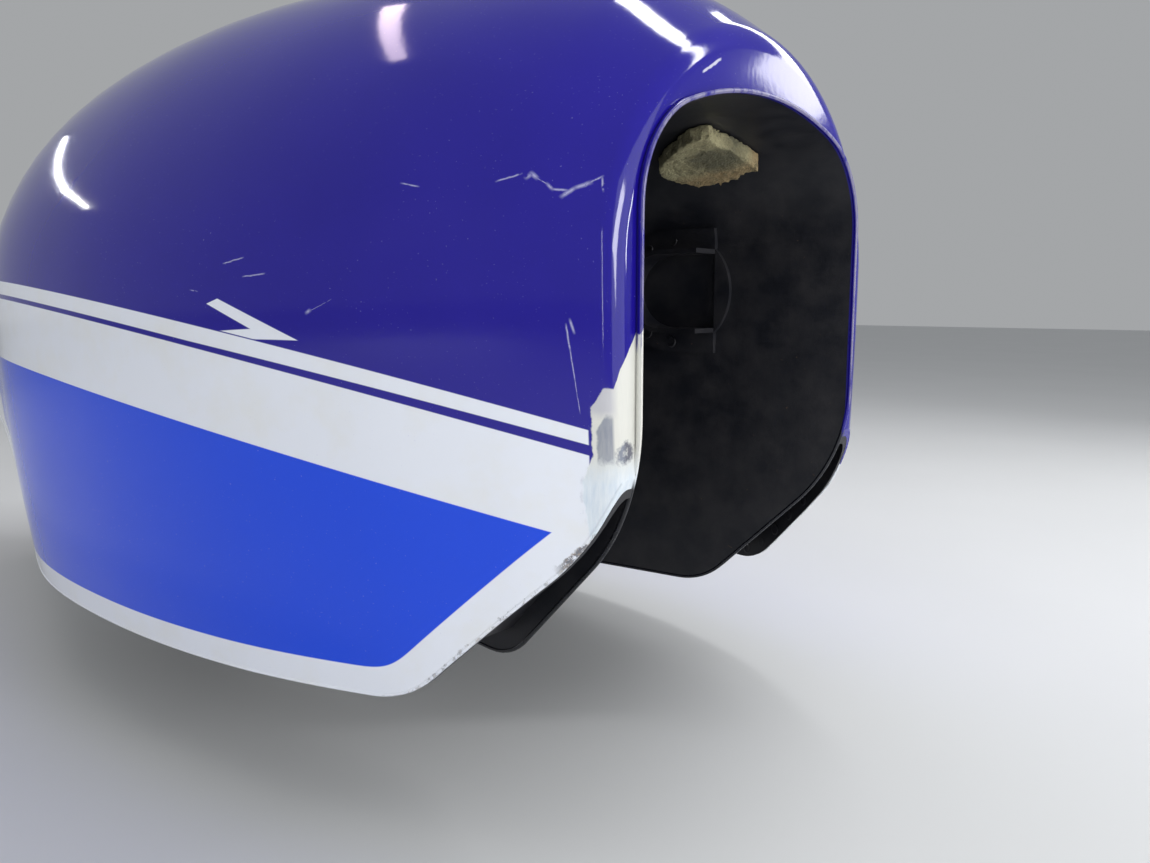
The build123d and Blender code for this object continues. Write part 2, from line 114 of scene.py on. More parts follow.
def row_at(table, behind):
    """Columns of a table of sections at these places, on the curve through its rows."""
    place = table[:, 0]
    slopes = np.empty_like(table[:, 1:])
    slopes[0] = (table[1, 1:] - table[0, 1:]) / (place[1] - place[0])
    slopes[-1] = (table[-1, 1:] - table[-2, 1:]) / (place[-1] - place[-2])
    slopes[1:-1] = (table[2:, 1:] - table[:-2, 1:]) / (place[2:] - place[:-2])[:, None]
    behind = np.asarray(behind, float)
    number = np.clip(np.searchsorted(place, behind) - 1, 0, len(place) - 2)
    length = place[number + 1] - place[number]
    t = np.clip((behind - place[number]) / length, 0, 1)[..., None]
    beyond = (behind - np.clip(behind, place[0], place[-1]))[..., None]
    low, high = table[number, 1:], table[number + 1, 1:]
    first, last = slopes[number], slopes[number + 1]
    rise = (3 - 2 * t) * t**2
    bend = first * t * (1 - t) ** 2 - last * t**2 * (1 - t)
    end_slope = np.where(beyond < 0, first, last)
    return low * (1 - rise) + high * rise + length[..., None] * bend + beyond * end_slope


def section_at(behind):
    """Centres, radii and the turn where crown meets shoulder, of the body's outline there."""
    half, top, shoulder_r, waist, foot = np.moveaxis(row_at(STATIONS, behind), -1, 0)
    bow = half - foot
    drop = waist - FOOT_Z
    side_r = (bow**2 + drop**2) / (2 * bow)
    reach = half - shoulder_r
    rise = top - waist
    crown_r = (reach**2 + rise**2 - shoulder_r**2) / (2 * (rise - shoulder_r))
    turn = np.arctan2(waist - (top - crown_r), reach)
    return half, top, shoulder_r, waist, side_r, reach, crown_r, turn


def depth_in_section(behind, y, z):
    """How far a point lies inside the outline across the body at its own place."""
    half, top, shoulder_r, waist, side_r, reach, crown_r, turn = section_at(behind)
    y = np.abs(y)
    side = side_r - np.hypot(y - half + side_r, z - waist)
    shoulder = shoulder_r - np.hypot(y - reach, z - waist)
    crown = crown_r - np.hypot(y, z - top + crown_r)
    angle = np.arctan2(z - top + crown_r, y)
    return np.where(z < waist, side, np.where(angle > turn, crown, shoulder))


def slopes_of(function, *values, step=0.02 * MM):
    """Slope of a function by each of its values, by small differences."""
    found = []
    for number in range(len(values)):
        ahead = [v + step * (k == number) for k, v in enumerate(values)]
        back = [v - step * (k == number) for k, v in enumerate(values)]
        found.append((function(*ahead) - function(*back)) / (2 * step))
    return found


def rounded(first, second, cosine, radius):
    """Depth under two faces that meet in a rounded edge, from the depth under each.

    Cosine is that of the angle between the two faces' inward normals.
    """
    a = first - radius
    b = second - radius
    spread = 1 - cosine**2
    between = (a - cosine * b < 0) & (b - cosine * a < 0)
    out = np.sqrt(np.maximum(a**2 + b**2 - 2 * a * b * cosine, 0) / spread)
    return np.where(between, radius - out, np.minimum(first, second))


def body_depth(x, y, z):
    """How deep a point lies under the painted surface, with its rolled front and rear edges."""
    behind = FRONT_X - x
    inside = depth_in_section(behind, y, z)
    along, across, up = slopes_of(depth_in_section, behind, y, z)
    steepness = np.sqrt(along**2 + across**2 + up**2)
    inside = inside / steepness
    lean = along / steepness
    front = behind < BODY_LENGTH / 2
    end_depth = np.where(front, behind, BODY_LENGTH - behind)
    radius = np.where(front, FRONT_ROLL, REAR_ROLL)
    return rounded(end_depth, inside, np.where(front, lean, -lean), radius)


def settle(points, surface, depth=0.0, rounds=3):
    """Moves points along a surface's slope until they lie at that depth under it."""
    points = np.array(points, float)
    for _ in range(rounds):
        x, y, z = points.T
        miss = surface(x, y, z) - depth
        slopes = np.stack(slopes_of(surface, x, y, z), 1)
        points -= miss[:, None] * slopes / np.maximum((slopes**2).sum(1), 1e-6)[:, None]
    return points


def normals_of(points, surface):
    """Outward normals of a surface at these points."""
    slopes = -np.stack(slopes_of(surface, *points.T), 1)
    return slopes / np.linalg.norm(slopes, axis=1)[:, None]


def ring_at(behind, outward, steps):
    """Points round the body, from the left foot over the top, moved outwards in their section.

    Behind is one place for each point. Steps are those of a side, a shoulder and half the crown.
    """
    half, top, shoulder_r, waist, side_r, reach, crown_r, turn = section_at(behind)
    foot_turn = np.arcsin((waist - FOOT_Z) / side_r)
    side = np.linspace(-1, 0, steps[0], endpoint=False)
    shoulder = np.linspace(0, 1, steps[1], endpoint=False)
    crown = np.linspace(0, 1, 2 * steps[2] + 1)
    shares = (side, shoulder, crown, shoulder[::-1], side[::-1])
    arc = np.repeat(range(5), [len(share) for share in shares])
    share = np.concatenate(shares)
    centre_y = np.choose(arc, (half - side_r, reach, 0 * reach, -reach, side_r - half))
    centre_z = np.choose(arc, (waist, waist, top - crown_r, waist, waist))
    radius = np.choose(arc, (side_r, shoulder_r, crown_r, shoulder_r, side_r)) + outward
    angle = np.choose(arc, (share * foot_turn, share * turn, turn + share * (math.pi - 2 * turn),
                            math.pi - share * turn, math.pi - share * foot_turn))
    return np.stack([FRONT_X - behind, centre_y + radius * np.cos(angle),
                     centre_z + radius * np.sin(angle)], 1)


def body_rings(depth, steps, spacing):
    """Rings of points from the front face's edge over the body to the rear face's edge."""
    even = np.ones(2 * sum(steps) + 1)
    tiny = 0.05 * MM
    roll_steps = 9
    blend = 30 * MM

    def lean_at(behind):
        ring = ring_at(behind * even, 0, steps)
        return slopes_of(depth_in_section, FRONT_X - ring[:, 0], ring[:, 1], ring[:, 2])[0]

    def end_ring(behind, outward, x):
        ring = ring_at(behind * even, outward, steps)
        ring[:, 0] = x
        return ring

    rolls = []
    for lean, roll in ((lean_at(tiny), FRONT_ROLL), (-lean_at(BODY_LENGTH - tiny), REAR_ROLL)):
        length = np.sqrt(1 + lean**2)
        turns = [np.arccos(lean / length) * k / roll_steps for k in range(roll_steps + 1)]
        rolls.append([(roll * (1 - np.cos(a)), roll * (lean - length) + roll * np.sin(a))
                      for a in turns])
    front, rear = rolls
    rings = [end_ring(0, outward, FRONT_X - inward) for inward, outward in front]
    rows = max(2, round(blend / spacing))
    inner_rows = round((BODY_LENGTH - 2 * blend) / spacing)
    for first, last, count in ((front[-1][0], blend, rows),
                               (blend, BODY_LENGTH - blend, inner_rows),
                               (BODY_LENGTH - blend, BODY_LENGTH - rear[-1][0], rows)):
        rings += [ring_at((first + (last - first) * k / count) * even, 0, steps)
                  for k in range(1, count + 1)]
    rings.pop()
    rings += [end_ring(BODY_LENGTH, outward, REAR_X + inward) for inward, outward in reversed(rear)]
    return [settle(ring, body_depth, depth) for ring in rings]


# Mesh helpers

# Least cosine between a face and a surface that it is taken to lie on
SAME_WAY = 0.8


def add_object(name, data):
    """Object at the origin that shows this mesh, lamp or camera."""
    made = bpy.data.objects.new(name, data)
    bpy.context.scene.collection.objects.link(made)
    return made


def new_mesh(name, vertices, edges, faces):
    """Object of a new mesh."""
    mesh = bpy.data.meshes.new(name)
    mesh.from_pydata([tuple(v) for v in vertices], edges, faces)
    mesh.validate()
    return add_object(name, mesh)


def recalculate(made):
    """Turns every face of a closed mesh outwards."""
    bm = bmesh.new()
    bm.from_mesh(made.data)
    bmesh.ops.recalc_face_normals(bm, faces=bm.faces)
    bm.to_mesh(made.data)
    bm.free()


def strip_faces(rows, count):
    """Faces between rings of this many points, row after row."""
    faces = []
    for row in range(rows - 1):
        for k in range(count):
            a, b = row * count + k, row * count + (k + 1) % count
            faces.append((a, b, b + count, a + count))
    return faces


def closed_tube(name, rings):
    """Closed solid skinned over rings of equally many points, each end closed by one face."""
    count = len(rings[0])
    faces = strip_faces(len(rings), count)
    faces.append(tuple(reversed(range(count))))
    last = (len(rings) - 1) * count
    faces.append(tuple(range(last, last + count)))
    made = new_mesh(name, np.concatenate(rings), [], faces)
    recalculate(made)
    return made


def ring_round(x, radius, angles, z):
    """Points round an upright axis that stands on the middle plane."""
    return np.stack([x + radius * np.cos(angles), radius * np.sin(angles),
                     z + np.zeros(len(angles))], 1)


def upright_cylinder(x, radius, low, high, steps):
    """Closed cylinder on the middle plane, to cut with."""
    angles = np.arange(steps) * 2 * math.pi / steps
    return closed_tube("hole_tool", [ring_round(x, radius, angles, z) for z in (low, high)])


def bake_modifiers(made):
    """Applies an object's modifiers to a new mesh."""
    graph = bpy.context.evaluated_depsgraph_get()
    mesh = bpy.data.meshes.new_from_object(made.evaluated_get(graph))
    made.modifiers.clear()
    made.data = mesh


def cut(made, tool, operation):
    """Boolean of two closed meshes; the tool is removed afterwards."""
    change = made.modifiers.new("cut", "BOOLEAN")
    change.object = tool
    change.operation = operation
    change.solver = "MANIFOLD"
    bake_modifiers(made)
    bpy.data.objects.remove(tool)


def mesh_values(items, attribute, width=1):
    """One attribute of all vertices, faces or corners; numbers, or rows of that width."""
    values = np.empty(len(items) * width, int if width == 1 else float)
    items.foreach_get(attribute, values)
    return values if width == 1 else values.reshape(-1, width)


def shade_by_surface(made, surfaces, near=0.12 * MM):
    """Sets smooth normals from the surfaces that the faces lie on.

    Surfaces are pairs of a depth function and a depth; a wall's inner side has depth WALL.
    """
    mesh = made.data
    corner_vertex = mesh_values(mesh.loops, "vertex_index")
    spots = mesh_values(mesh.vertices, "co", 3)
    centres = mesh_values(mesh.polygons, "center", 3)
    corner_face = np.repeat(np.arange(len(centres)), mesh_values(mesh.polygons, "loop_total"))
    flat = mesh_values(mesh.polygons, "normal", 3)[corner_face]
    normals = flat.copy()
    for surface, depth in surfaces:
        there = np.abs(surface(*centres.T) - depth) < near
        smooth = normals_of(spots, surface)[corner_vertex]
        sign = np.sign((smooth * normals).sum(1))
        agree = np.abs((smooth * flat).sum(1)) > SAME_WAY
        on_it = there[corner_face] & agree
        normals[on_it] = (smooth * sign[:, None])[on_it]
    mesh.normals_split_custom_set(normals.tolist())


# The painted skin


def round_corners(corners, radii, steps=16):
    """Closed outline whose corners are rounded, each by its radius; 0 leaves it sharp."""
    points = []
    count = len(corners)
    for number, (corner, radius) in enumerate(zip(corners, radii)):
        here = np.array(corner, float)
        if radius == 0:
            points.append(here)
            continue
        before = np.array(corners[number - 1], float) - here
        after = np.array(corners[(number + 1) % count], float) - here
        before /= np.linalg.norm(before)
        after /= np.linalg.norm(after)
        half_angle = math.acos(before @ after) / 2
        centre = here + (before + after) / np.linalg.norm(before + after) * (
            radius / math.sin(half_angle)
        )
        first = here + before * radius / math.tan(half_angle) - centre
        last = here + after * radius / math.tan(half_angle) - centre
        swing = math.pi - 2 * half_angle
        for step in range(steps + 1):
            t = step / steps
            arm = (math.sin((1 - t) * swing) * first + math.sin(t * swing) * last)
            points.append(centre + arm / math.sin(swing))
    return np.array(points)


def lower_edge_outline():
    """Side view (x, z) of everything above the body's lower edge."""
    front_slope = (CORNER_Z - FLOOR_Z) / (FLOOR_FROM + LIP)
    rear_slope = (REAR_FLOOR_Z - FLOOR_Z) / (BODY_LENGTH + LIP - FLOOR_TO)
    rear = BODY_LENGTH + LIP
    far_up = 0.3
    corners = [
        (FRONT_X + LIP, far_up),
        (FRONT_X + LIP, FLOOR_Z + front_slope * (FLOOR_FROM + LIP)),
        (FRONT_X - FLOOR_FROM, FLOOR_Z),
        (FRONT_X - FLOOR_TO, FLOOR_Z),
        (FRONT_X - rear, FLOOR_Z + rear_slope * (rear - FLOOR_TO)),
        (FRONT_X - rear, far_up),
    ]
    return round_corners(corners, (0, CORNER_R, CHIN_R, HEEL_R, 0, 0))


def tunnel_at(behind):
    """Half width, roof, corner radius, its centre, roof radius and the turn where they meet."""
    half, roof, corner_r, crown = (
        np.interp(behind, TUNNEL[:, 0], column) for column in TUNNEL[:, 1:].T
    )
    reach = half - corner_r
    centre_z = roof - crown - corner_r
    roof_r = (reach**2 + (corner_r + crown) ** 2 - corner_r**2) / (2 * crown)
    turn = np.arctan2(centre_z - roof + roof_r, reach)
    return half, roof, corner_r, reach, centre_z, roof_r, turn


def tunnel_ring(behind, grow, arc_steps=14):
    """Points of the tunnel's outline across the body, from the left foot to the right one."""
    half, roof, corner_r, reach, centre_z, roof_r, turn = tunnel_at(behind)
    corner = turn * np.arange(arc_steps + 1) / arc_steps
    top = turn + (math.pi - 2 * turn) * np.arange(1, 2 * arc_steps) / (2 * arc_steps)
    left = [(half + grow, FOOT_Z - HEM)]
    left += zip(reach + (corner_r + grow) * np.cos(corner),
                centre_z + (corner_r + grow) * np.sin(corner))
    over = zip((roof_r + grow) * np.cos(top), roof - roof_r + (roof_r + grow) * np.sin(top))
    points = [*left, *over, *((-y, z) for y, z in reversed(left))]
    return np.array([(FRONT_X - behind, y, z) for y, z in points])


def tunnel_solid(grow):
    """The tunnel's space, moved outwards by grow."""
    places = np.concatenate([np.linspace(TUNNEL[0, 0], TUNNEL[1, 0], 9),
                             np.linspace(TUNNEL[1, 0], TUNNEL[2, 0], 15)[1:]])
    return closed_tube("tunnel_tool", [tunnel_ring(place, grow) for place in places])


def side_prism():
    """Everything above the body's lower edge, as a prism across the body."""
    outline = lower_edge_outline()
    wide = 0.4
    rings = [np.array([(x, y, z) for x, z in outline]) for y in (-wide, wide)]
    return closed_tube("side_tool", rings)


# Points on a side, a shoulder and half the crown of each ring, and the rings' spacing
OUTSIDE_STEPS, OUTSIDE_SPACING = (26, 22, 16), 5 * MM
INSIDE_STEPS, INSIDE_SPACING = (16, 14, 10), 10 * MM
HOLE_STEPS = 160
HOLE_LOW, HOLE_HIGH = 0.05, 0.3


def painted_skin():
    """Both side pressings, welded and ground flush, with the holes for tunnel and filler."""
    skin = closed_tube("painted_skin", body_rings(0.0, OUTSIDE_STEPS, OUTSIDE_SPACING))
    inside = closed_tube("inside_tool", body_rings(WALL, INSIDE_STEPS, INSIDE_SPACING))
    cut(skin, inside, "DIFFERENCE")
    cut(skin, side_prism(), "INTERSECT")
    cut(skin, tunnel_solid(WALL), "DIFFERENCE")
    hole = upright_cylinder(FILLER_X, RECESS_BORDER, HOLE_LOW, HOLE_HIGH, HOLE_STEPS)
    cut(skin, hole, "DIFFERENCE")
    shade_by_surface(skin, [(body_depth, 0.0), (body_depth, WALL)])
    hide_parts("skin_left", "skin_right")
    return skin


def rim_height(radius, angles):
    """Height of the body's top round the filler at this distance from its axis."""
    x = FILLER_X + radius * np.cos(angles)
    y = radius * np.sin(angles)
    z = np.full(len(angles), row_at(STATIONS, FRONT_X - FILLER_X)[1])
    for _ in range(6):
        z = z + body_depth(x, y, z)
    return z


# Radius of the recess's rounded edges: nearly the widest where the recess is deep
WIDEST_PAN_R = 4.6 * MM
SHALLOW = 5 * MM
PAN_TURNS = np.linspace(0, math.pi, 61)
PAN_DEPTHS = rim_height(RECESS_R + 3 * MM, PAN_TURNS) - RECESS_Z
PAN_RADII = WIDEST_PAN_R * PAN_DEPTHS / (PAN_DEPTHS + SHALLOW)


def pan_radius(angles):
    """Radius of the recess's lower corner and upper edge, smaller where it is shallow."""
    return np.interp(np.abs(angles), PAN_TURNS, PAN_RADII)


def recess_depth(x, y, z):
    """As body_depth, with the rounded upper edge of the filler recess."""
    inside = body_depth(x, y, z)
    slopes = slopes_of(body_depth, x, y, z)
    away = np.hypot(x - FILLER_X, y)
    cosine = (slopes[0] * (x - FILLER_X) + slopes[1] * y) / np.maximum(away, MM)
    radius = pan_radius(np.arctan2(y, x - FILLER_X))
    return rounded(away - (RECESS_R - WALL), inside, cosine, radius)


def filler_pan():
    """Filler recess whose wall rolls over into the body's top, as one pressing."""
    turns = 144
    angles = np.linspace(-math.pi, math.pi, turns, endpoint=False)
    wall_r = RECESS_R - WALL
    corner = pan_radius(angles)
    wall_top = rim_height(wall_r + corner, angles) - corner

    hole_r = NECK_R + 0.05 * MM
    quarter = np.linspace(0, math.pi / 2, 9)
    thirds = (1 / 3, 2 / 3, 1)
    profile = [(hole_r + (wall_r - corner - hole_r) * share, RECESS_Z)
               for share in np.linspace(0, 1, 9)[:-1]]
    profile += [(wall_r - corner + corner * math.sin(a), RECESS_Z + corner - corner * math.cos(a))
                for a in quarter]
    profile += [(wall_r, RECESS_Z + corner + (wall_top - RECESS_Z - corner) * share)
                for share in thirds[:2]]
    rings = [ring_round(FILLER_X, radius, angles, z) for radius, z in profile]
    for a in quarter:
        rolled = ring_round(FILLER_X, wall_r + corner * (1 - math.cos(a)), angles,
                            wall_top + corner * math.sin(a))
        rings.append(settle(rolled, recess_depth))
    for share in thirds:
        radius = wall_r + corner + (RECESS_BORDER - wall_r - corner) * share
        rings.append(ring_round(FILLER_X, radius, angles, rim_height(radius, angles)))
    faces = [(a, d, c, b) for a, b, c, d in strip_faces(len(rings), turns)]
    pan = new_mesh("filler_pan", np.concatenate(rings), [], faces)
    wall = pan.modifiers.new("wall", "SOLIDIFY")
    wall.thickness = WALL
    wall.offset = -1
    bake_modifiers(pan)
    reach = 3 * MM
    drain = upright_cylinder(DRAIN_X, DRAIN_BORE_R, RECESS_Z - reach, RECESS_Z + reach, 32)
    cut(pan, drain, "DIFFERENCE")
    pan.data.shade_smooth()
    shade_by_surface(pan, [(recess_depth, 0.0)], near=0.02 * MM)
    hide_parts("filler_recess")
    return pan


# Node trees, for finishes and for what repeats


class Value:
    """A number in a node tree, for plain arithmetic."""

    def __init__(self, tree, socket):
        self.tree = tree
        self.socket = socket

    def __add__(self, other):
        return self.tree.maths("ADD", self, other)

    def __radd__(self, other):
        return self.tree.maths("ADD", other, self)

    def __sub__(self, other):
        return self.tree.maths("SUBTRACT", self, other)

    def __rsub__(self, other):
        return self.tree.maths("SUBTRACT", other, self)

    def __mul__(self, other):
        return self.tree.maths("MULTIPLY", self, other)

    def __rmul__(self, other):
        return self.tree.maths("MULTIPLY", other, self)

    def __truediv__(self, other):
        return self.tree.maths("DIVIDE", self, other)

    def __neg__(self):
        return self.tree.maths("MULTIPLY", self, -1.0)

    def __abs__(self):
        return self.tree.maths("ABSOLUTE", self)


class Tree:
    """Nodes of one finish or one rule."""

    def __init__(self, tree):
        self.tree = tree

    def node(self, kind, settings=None, values=None):
        """A new node: its settings first, then the values or links of its sockets."""
        made = self.tree.nodes.new(kind)
        for name, setting in (settings or {}).items():
            setattr(made, name, setting)
        for key, value in (values or {}).items():
            if isinstance(value, Value):
                value = value.socket
            if isinstance(value, bpy.types.NodeSocket):
                self.tree.links.new(value, made.inputs[key])
            else:
                made.inputs[key].default_value = value
        return made

    def maths(self, operation, *values, clamp=False):
        """A value worked out from others by one Math node."""
        settings = {"operation": operation, "use_clamp": clamp}
        made = self.node("ShaderNodeMath", settings, dict(enumerate(values)))
        return Value(self, made.outputs[0])


class Rule(Tree):
    """Geometry Nodes tree with named inputs."""

    def __init__(self, name, inputs):
        super().__init__(bpy.data.node_groups.new(name, "GeometryNodeTree"))
        face = self.tree.interface
        face.new_socket(name="Geometry", in_out="INPUT", socket_type="NodeSocketGeometry")
        for label, kind in inputs.items():
            face.new_socket(name=label, in_out="INPUT", socket_type=kind)
        face.new_socket(name="Geometry", in_out="OUTPUT", socket_type="NodeSocketGeometry")
        self.given = self.node("NodeGroupInput").outputs

    def end(self, geometry):
        """Makes instances real and ends the tree."""
        real = self.node("GeometryNodeRealizeInstances", values={0: geometry}).outputs[0]
        self.node("NodeGroupOutput", values={0: real})

    def apply(self, made, values):
        """Runs the tree on an object with these inputs and keeps the result as its mesh."""
        modifier = made.modifiers.new("rule", "NODES")
        modifier.node_group = self.tree
        for item in self.tree.interface.items_tree:
            if item.name in values:
                modifier[item.identifier] = values[item.name]
        bake_modifiers(made)
        recalculate(made)
        made.data.shade_smooth()
        return made


def bead_rule():
    """Round bead along a path; ripple swells it in even steps, as a weld is."""
    number = "NodeSocketFloat"
    rule = Rule("bead", {"Radius": number, "Step": number, "Ripple": number, "Pitch": number})
    given = rule.given
    path = rule.node("GeometryNodeMeshToCurve", values={0: given["Geometry"]}).outputs[0]
    even = rule.node("GeometryNodeResampleCurve", {"mode": "LENGTH"},
                     {"Curve": path, "Length": given["Step"]}).outputs[0]
    travel = Value(rule, rule.node("GeometryNodeSplineParameter").outputs["Length"])
    wave = rule.maths("SINE", travel * (2 * math.pi) / Value(rule, given["Pitch"]))
    swell = 1 + wave * Value(rule, given["Ripple"])
    ring = rule.node("GeometryNodeCurvePrimitiveCircle", {"mode": "RADIUS"},
                     {"Resolution": 10, "Radius": given["Radius"]}).outputs[0]
    tube = rule.node("GeometryNodeCurveToMesh", values={
        "Curve": even, "Profile Curve": ring, "Scale": swell, "Fill Caps": True})
    rule.end(tube.outputs[0])
    return rule


def repeat_rule():
    """One item on each point, standing along the point's facing, turned and sized at random."""
    number = "NodeSocketFloat"
    rule = Rule("repeat", {"Item": "NodeSocketObject", "Size Spread": number, "Turn": number,
                           "Seed": "NodeSocketInt"})
    given = rule.given
    item = rule.node("GeometryNodeObjectInfo", values={"Object": given["Item"]})
    facing = rule.node("GeometryNodeInputNamedAttribute", {"data_type": "FLOAT_VECTOR"},
                       {"Name": "facing"}).outputs[0]
    upright = rule.node("FunctionNodeAlignRotationToVector", {"axis": "Z"}, {"Vector": facing})
    turn = rule.node("FunctionNodeRandomValue", {"data_type": "FLOAT"},
                     {2: 0.0, 3: given["Turn"], "Seed": given["Seed"]}).outputs[1]
    spin = rule.node("FunctionNodeAxisAngleToRotation", values={"Axis": (0, 0, 1), "Angle": turn})
    turned_item = rule.node("FunctionNodeRotateRotation", {"rotation_space": "LOCAL"}, {
        "Rotation": upright.outputs[0], "Rotate By": spin.outputs[0]})
    spread = Value(rule, given["Size Spread"])
    size = rule.node("FunctionNodeRandomValue", {"data_type": "FLOAT"},
                     {2: 1 - spread, 3: 1 + spread, "Seed": given["Seed"]}).outputs[1]
    placed = rule.node("GeometryNodeInstanceOnPoints", values={
        "Points": given["Geometry"], "Instance": item.outputs["Geometry"],
        "Rotation": turned_item.outputs[0], "Scale": size})
    rule.end(placed.outputs[0])
    return rule


def bead_along(bead, name, paths, radius, step, ripple=0.0, pitch=10 * MM):
    """Bead along paths, each a pair of its points and whether it is closed."""
    vertices = []
    edges = []
    for points, closed in paths:
        first = len(vertices)
        vertices.extend(points)
        edges.extend((k, k + 1) for k in range(first, len(vertices) - 1))
        if closed:
            edges.append((len(vertices) - 1, first))
    made = new_mesh(name, vertices, edges, [])
    return bead.apply(made, {"Radius": radius, "Step": step, "Ripple": ripple, "Pitch": pitch})


def item_on_spots(repeat, name, item, spots, seed, spread=0.0, turn=6.0):
    """Copies of an item on spots, each a pair of its place and facing."""
    made = new_mesh(name, [place for place, _ in spots], [], [])
    facing = made.data.attributes.new("facing", "FLOAT_VECTOR", "POINT")
    facing.data.foreach_set("vector", np.array([way for _, way in spots], float).ravel())
    repeat.apply(made, {"Item": item, "Size Spread": spread, "Turn": turn, "Seed": seed})
    bpy.data.objects.remove(item)
    return made


def turned(name, profile, steps=24, across_flats=None):
    """Closed item about Z from a profile of radius and height, top first.

    With across_flats, no ring is wider than that hexagon.
    """
    angles = np.arange(steps) * 2 * math.pi / steps
    rings = []
    for radius, z in profile:
        reach = np.full(steps, radius)
        if across_flats:
            sixth = (angles + math.pi / 6) % (math.pi / 3) - math.pi / 6
            reach = np.minimum(reach, across_flats / 2 / np.cos(sixth))
        rings.append(ring_round(0, reach, angles, z))
    return closed_tube(name, rings)


def around(radius, degrees):
    """Pairs of offsets to places on a circle, at these angles."""
    return [(radius * math.cos(math.radians(a)), radius * math.sin(math.radians(a)))
            for a in degrees]


def slotted(item, top, width, depth):
    """Cuts a screwdriver slot across the top of a turned item."""
    half = 0.01
    corners = [(-half, -width / 2), (half, -width / 2), (half, width / 2), (-half, width / 2)]
    rings = [np.array([(x, y, z) for x, y in corners]) for z in (top - depth, top + depth)]
    cut(item, closed_tube("slot_tool", rings), "DIFFERENCE")
    return item


# Rolled edges, welds and screws


def edge_line(inset, spacing):
    """Points (x, z) down the open front, along the body's lower edge and up behind."""
    outline = lower_edge_outline()
    travel = np.concatenate([[0], np.cumsum(np.hypot(*np.diff(outline, axis=0).T))])
    places = np.arange(0, travel[-1], spacing)
    line = np.stack([np.interp(places, travel, outline[:, k]) for k in (0, 1)], 1)
    way = np.gradient(line, axis=0)
    way /= np.linalg.norm(way, axis=1)[:, None]
    return line + inset * np.stack([way[:, 1], -way[:, 0]], 1)


def tunnel_half(behind):
    """Half width of the tunnel."""
    return np.interp(behind, TUNNEL[:, 0], TUNNEL[:, 1])


def tunnel_edge_path(inset):
    """Closed path round the free edge of the tunnel's sheet, through the sheet's middle."""
    walls_from = -32 * MM
    wall_step = 4 * MM
    line = edge_line(inset, 2 * MM)
    low = line[line[:, 1] < walls_from]
    low = low[(low[:, 0] < FRONT_X + LIP) & (low[:, 0] > REAR_X - LIP)]
    half = tunnel_half(FRONT_X - low[:, 0]) + WALL / 2
    right = np.stack([low[:, 0], -half, low[:, 1]], 1)
    left = right * (1, -1, 1)
    arches = []
    for behind, lowest in ((-LIP + inset, right[0, 2]), (BODY_LENGTH + LIP - inset, right[-1, 2])):
        ring = tunnel_ring(behind, WALL / 2)
        corner_z = ring[1, 2]
        steps = max(2, int((corner_z - lowest) / wall_step))
        wall = np.repeat(ring[1:2], steps, axis=0)
        wall[:, 2] = np.linspace(lowest, corner_z, steps, endpoint=False)
        wall = wall[1:]
        arches.append(np.concatenate([wall, ring[1:-1], (wall * (1, -1, 1))[::-1]]))
    return np.concatenate([arches[0], right, arches[1][::-1], left[::-1]])


def side_at(points, depth):
    """Distance from the middle plane to the skin at this depth, for points (x, z)."""
    x, z = points.T
    past_widest = 0.2
    halvings = 40
    near = np.zeros(len(x))
    far = np.full(len(x), past_widest)
    for _ in range(halvings):
        middle = (near + far) / 2
        inside = body_depth(x, middle, z) > depth
        near = np.where(inside, middle, near)
        far = np.where(inside, far, middle)
    return near


def skin_line(inset, depth, spacing):
    """Points along the skin's lower edge on the left, at this height and depth in the wall."""
    from_ends = 0.6 * MM
    from_tunnel = 1.6 * MM
    line = edge_line(inset, spacing)
    line = line[(line[:, 0] < FRONT_X - from_ends) & (line[:, 0] > REAR_X + from_ends)]
    line = line[line[:, 1] < 0]
    y = side_at(line, depth)
    keep = y > tunnel_half(FRONT_X - line[:, 0]) + from_tunnel
    return np.stack([line[:, 0], y, line[:, 1]], 1)[keep]


def hem_edge(bead):
    """Rounded lower edge of both side pressings."""
    left = skin_line(inset=0.6 * MM, depth=WALL / 2, spacing=2 * MM)
    paths = [(left, False), (left * (1, -1, 1), False)]
    return bead_along(bead, "hem_edge", paths, radius=0.75 * MM, step=3 * MM)


def tunnel_edge(bead):
    """Rounded free edge of the tunnel's sheet, round both mouths and along the bottom."""
    paths = [(tunnel_edge_path(inset=0.7 * MM), True)]
    return bead_along(bead, "tunnel_edge", paths, radius=0.85 * MM, step=2.5 * MM)


def bracket_weld(bead):
    """Weld round the upright plate of the rear bracket."""
    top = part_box("rear_bracket")[1]
    low_z = -0.5 * MM
    corner = 2 * MM
    outline = [(top.y, low_z), (top.y, top.z - corner), (top.y - corner, top.z)]
    outline += [(-y, z) for y, z in reversed(outline)]
    points = [(REAR_X - 0.2 * MM, y, z) for y, z in outline]
    return bead_along(bead, "bracket_weld", [(points, False)], radius=1.7 * MM,
                      step=0.6 * MM, ripple=0.16, pitch=2.6 * MM)


def drain_weld(bead):
    """Brazed ring where the recess's drain comes out through the tunnel's roof."""
    angles = np.linspace(0, 2 * math.pi, 24, endpoint=False)
    pipe_r = 3.0 * MM
    points = ring_round(DRAIN_X, pipe_r + 0.5 * MM, angles, 0)
    points[:, 2] = np.interp(FRONT_X - points[:, 0], TUNNEL[:, 0], TUNNEL[:, 2])
    return bead_along(bead, "drain_weld", [(points, True)], radius=1.1 * MM,
                      step=0.5 * MM, ripple=0.12, pitch=1.8 * MM)


def hem_spots():
    """Places and directions of the spot welds inside the hem, both sides."""
    line = skin_line(inset=4.2 * MM, depth=2 * WALL, spacing=13 * MM)
    inward = -normals_of(line, body_depth)
    return [((x, side * y, z), (a, side * b, c))
            for (x, y, z), (a, b, c) in zip(line, inward) for side in (1, -1)]


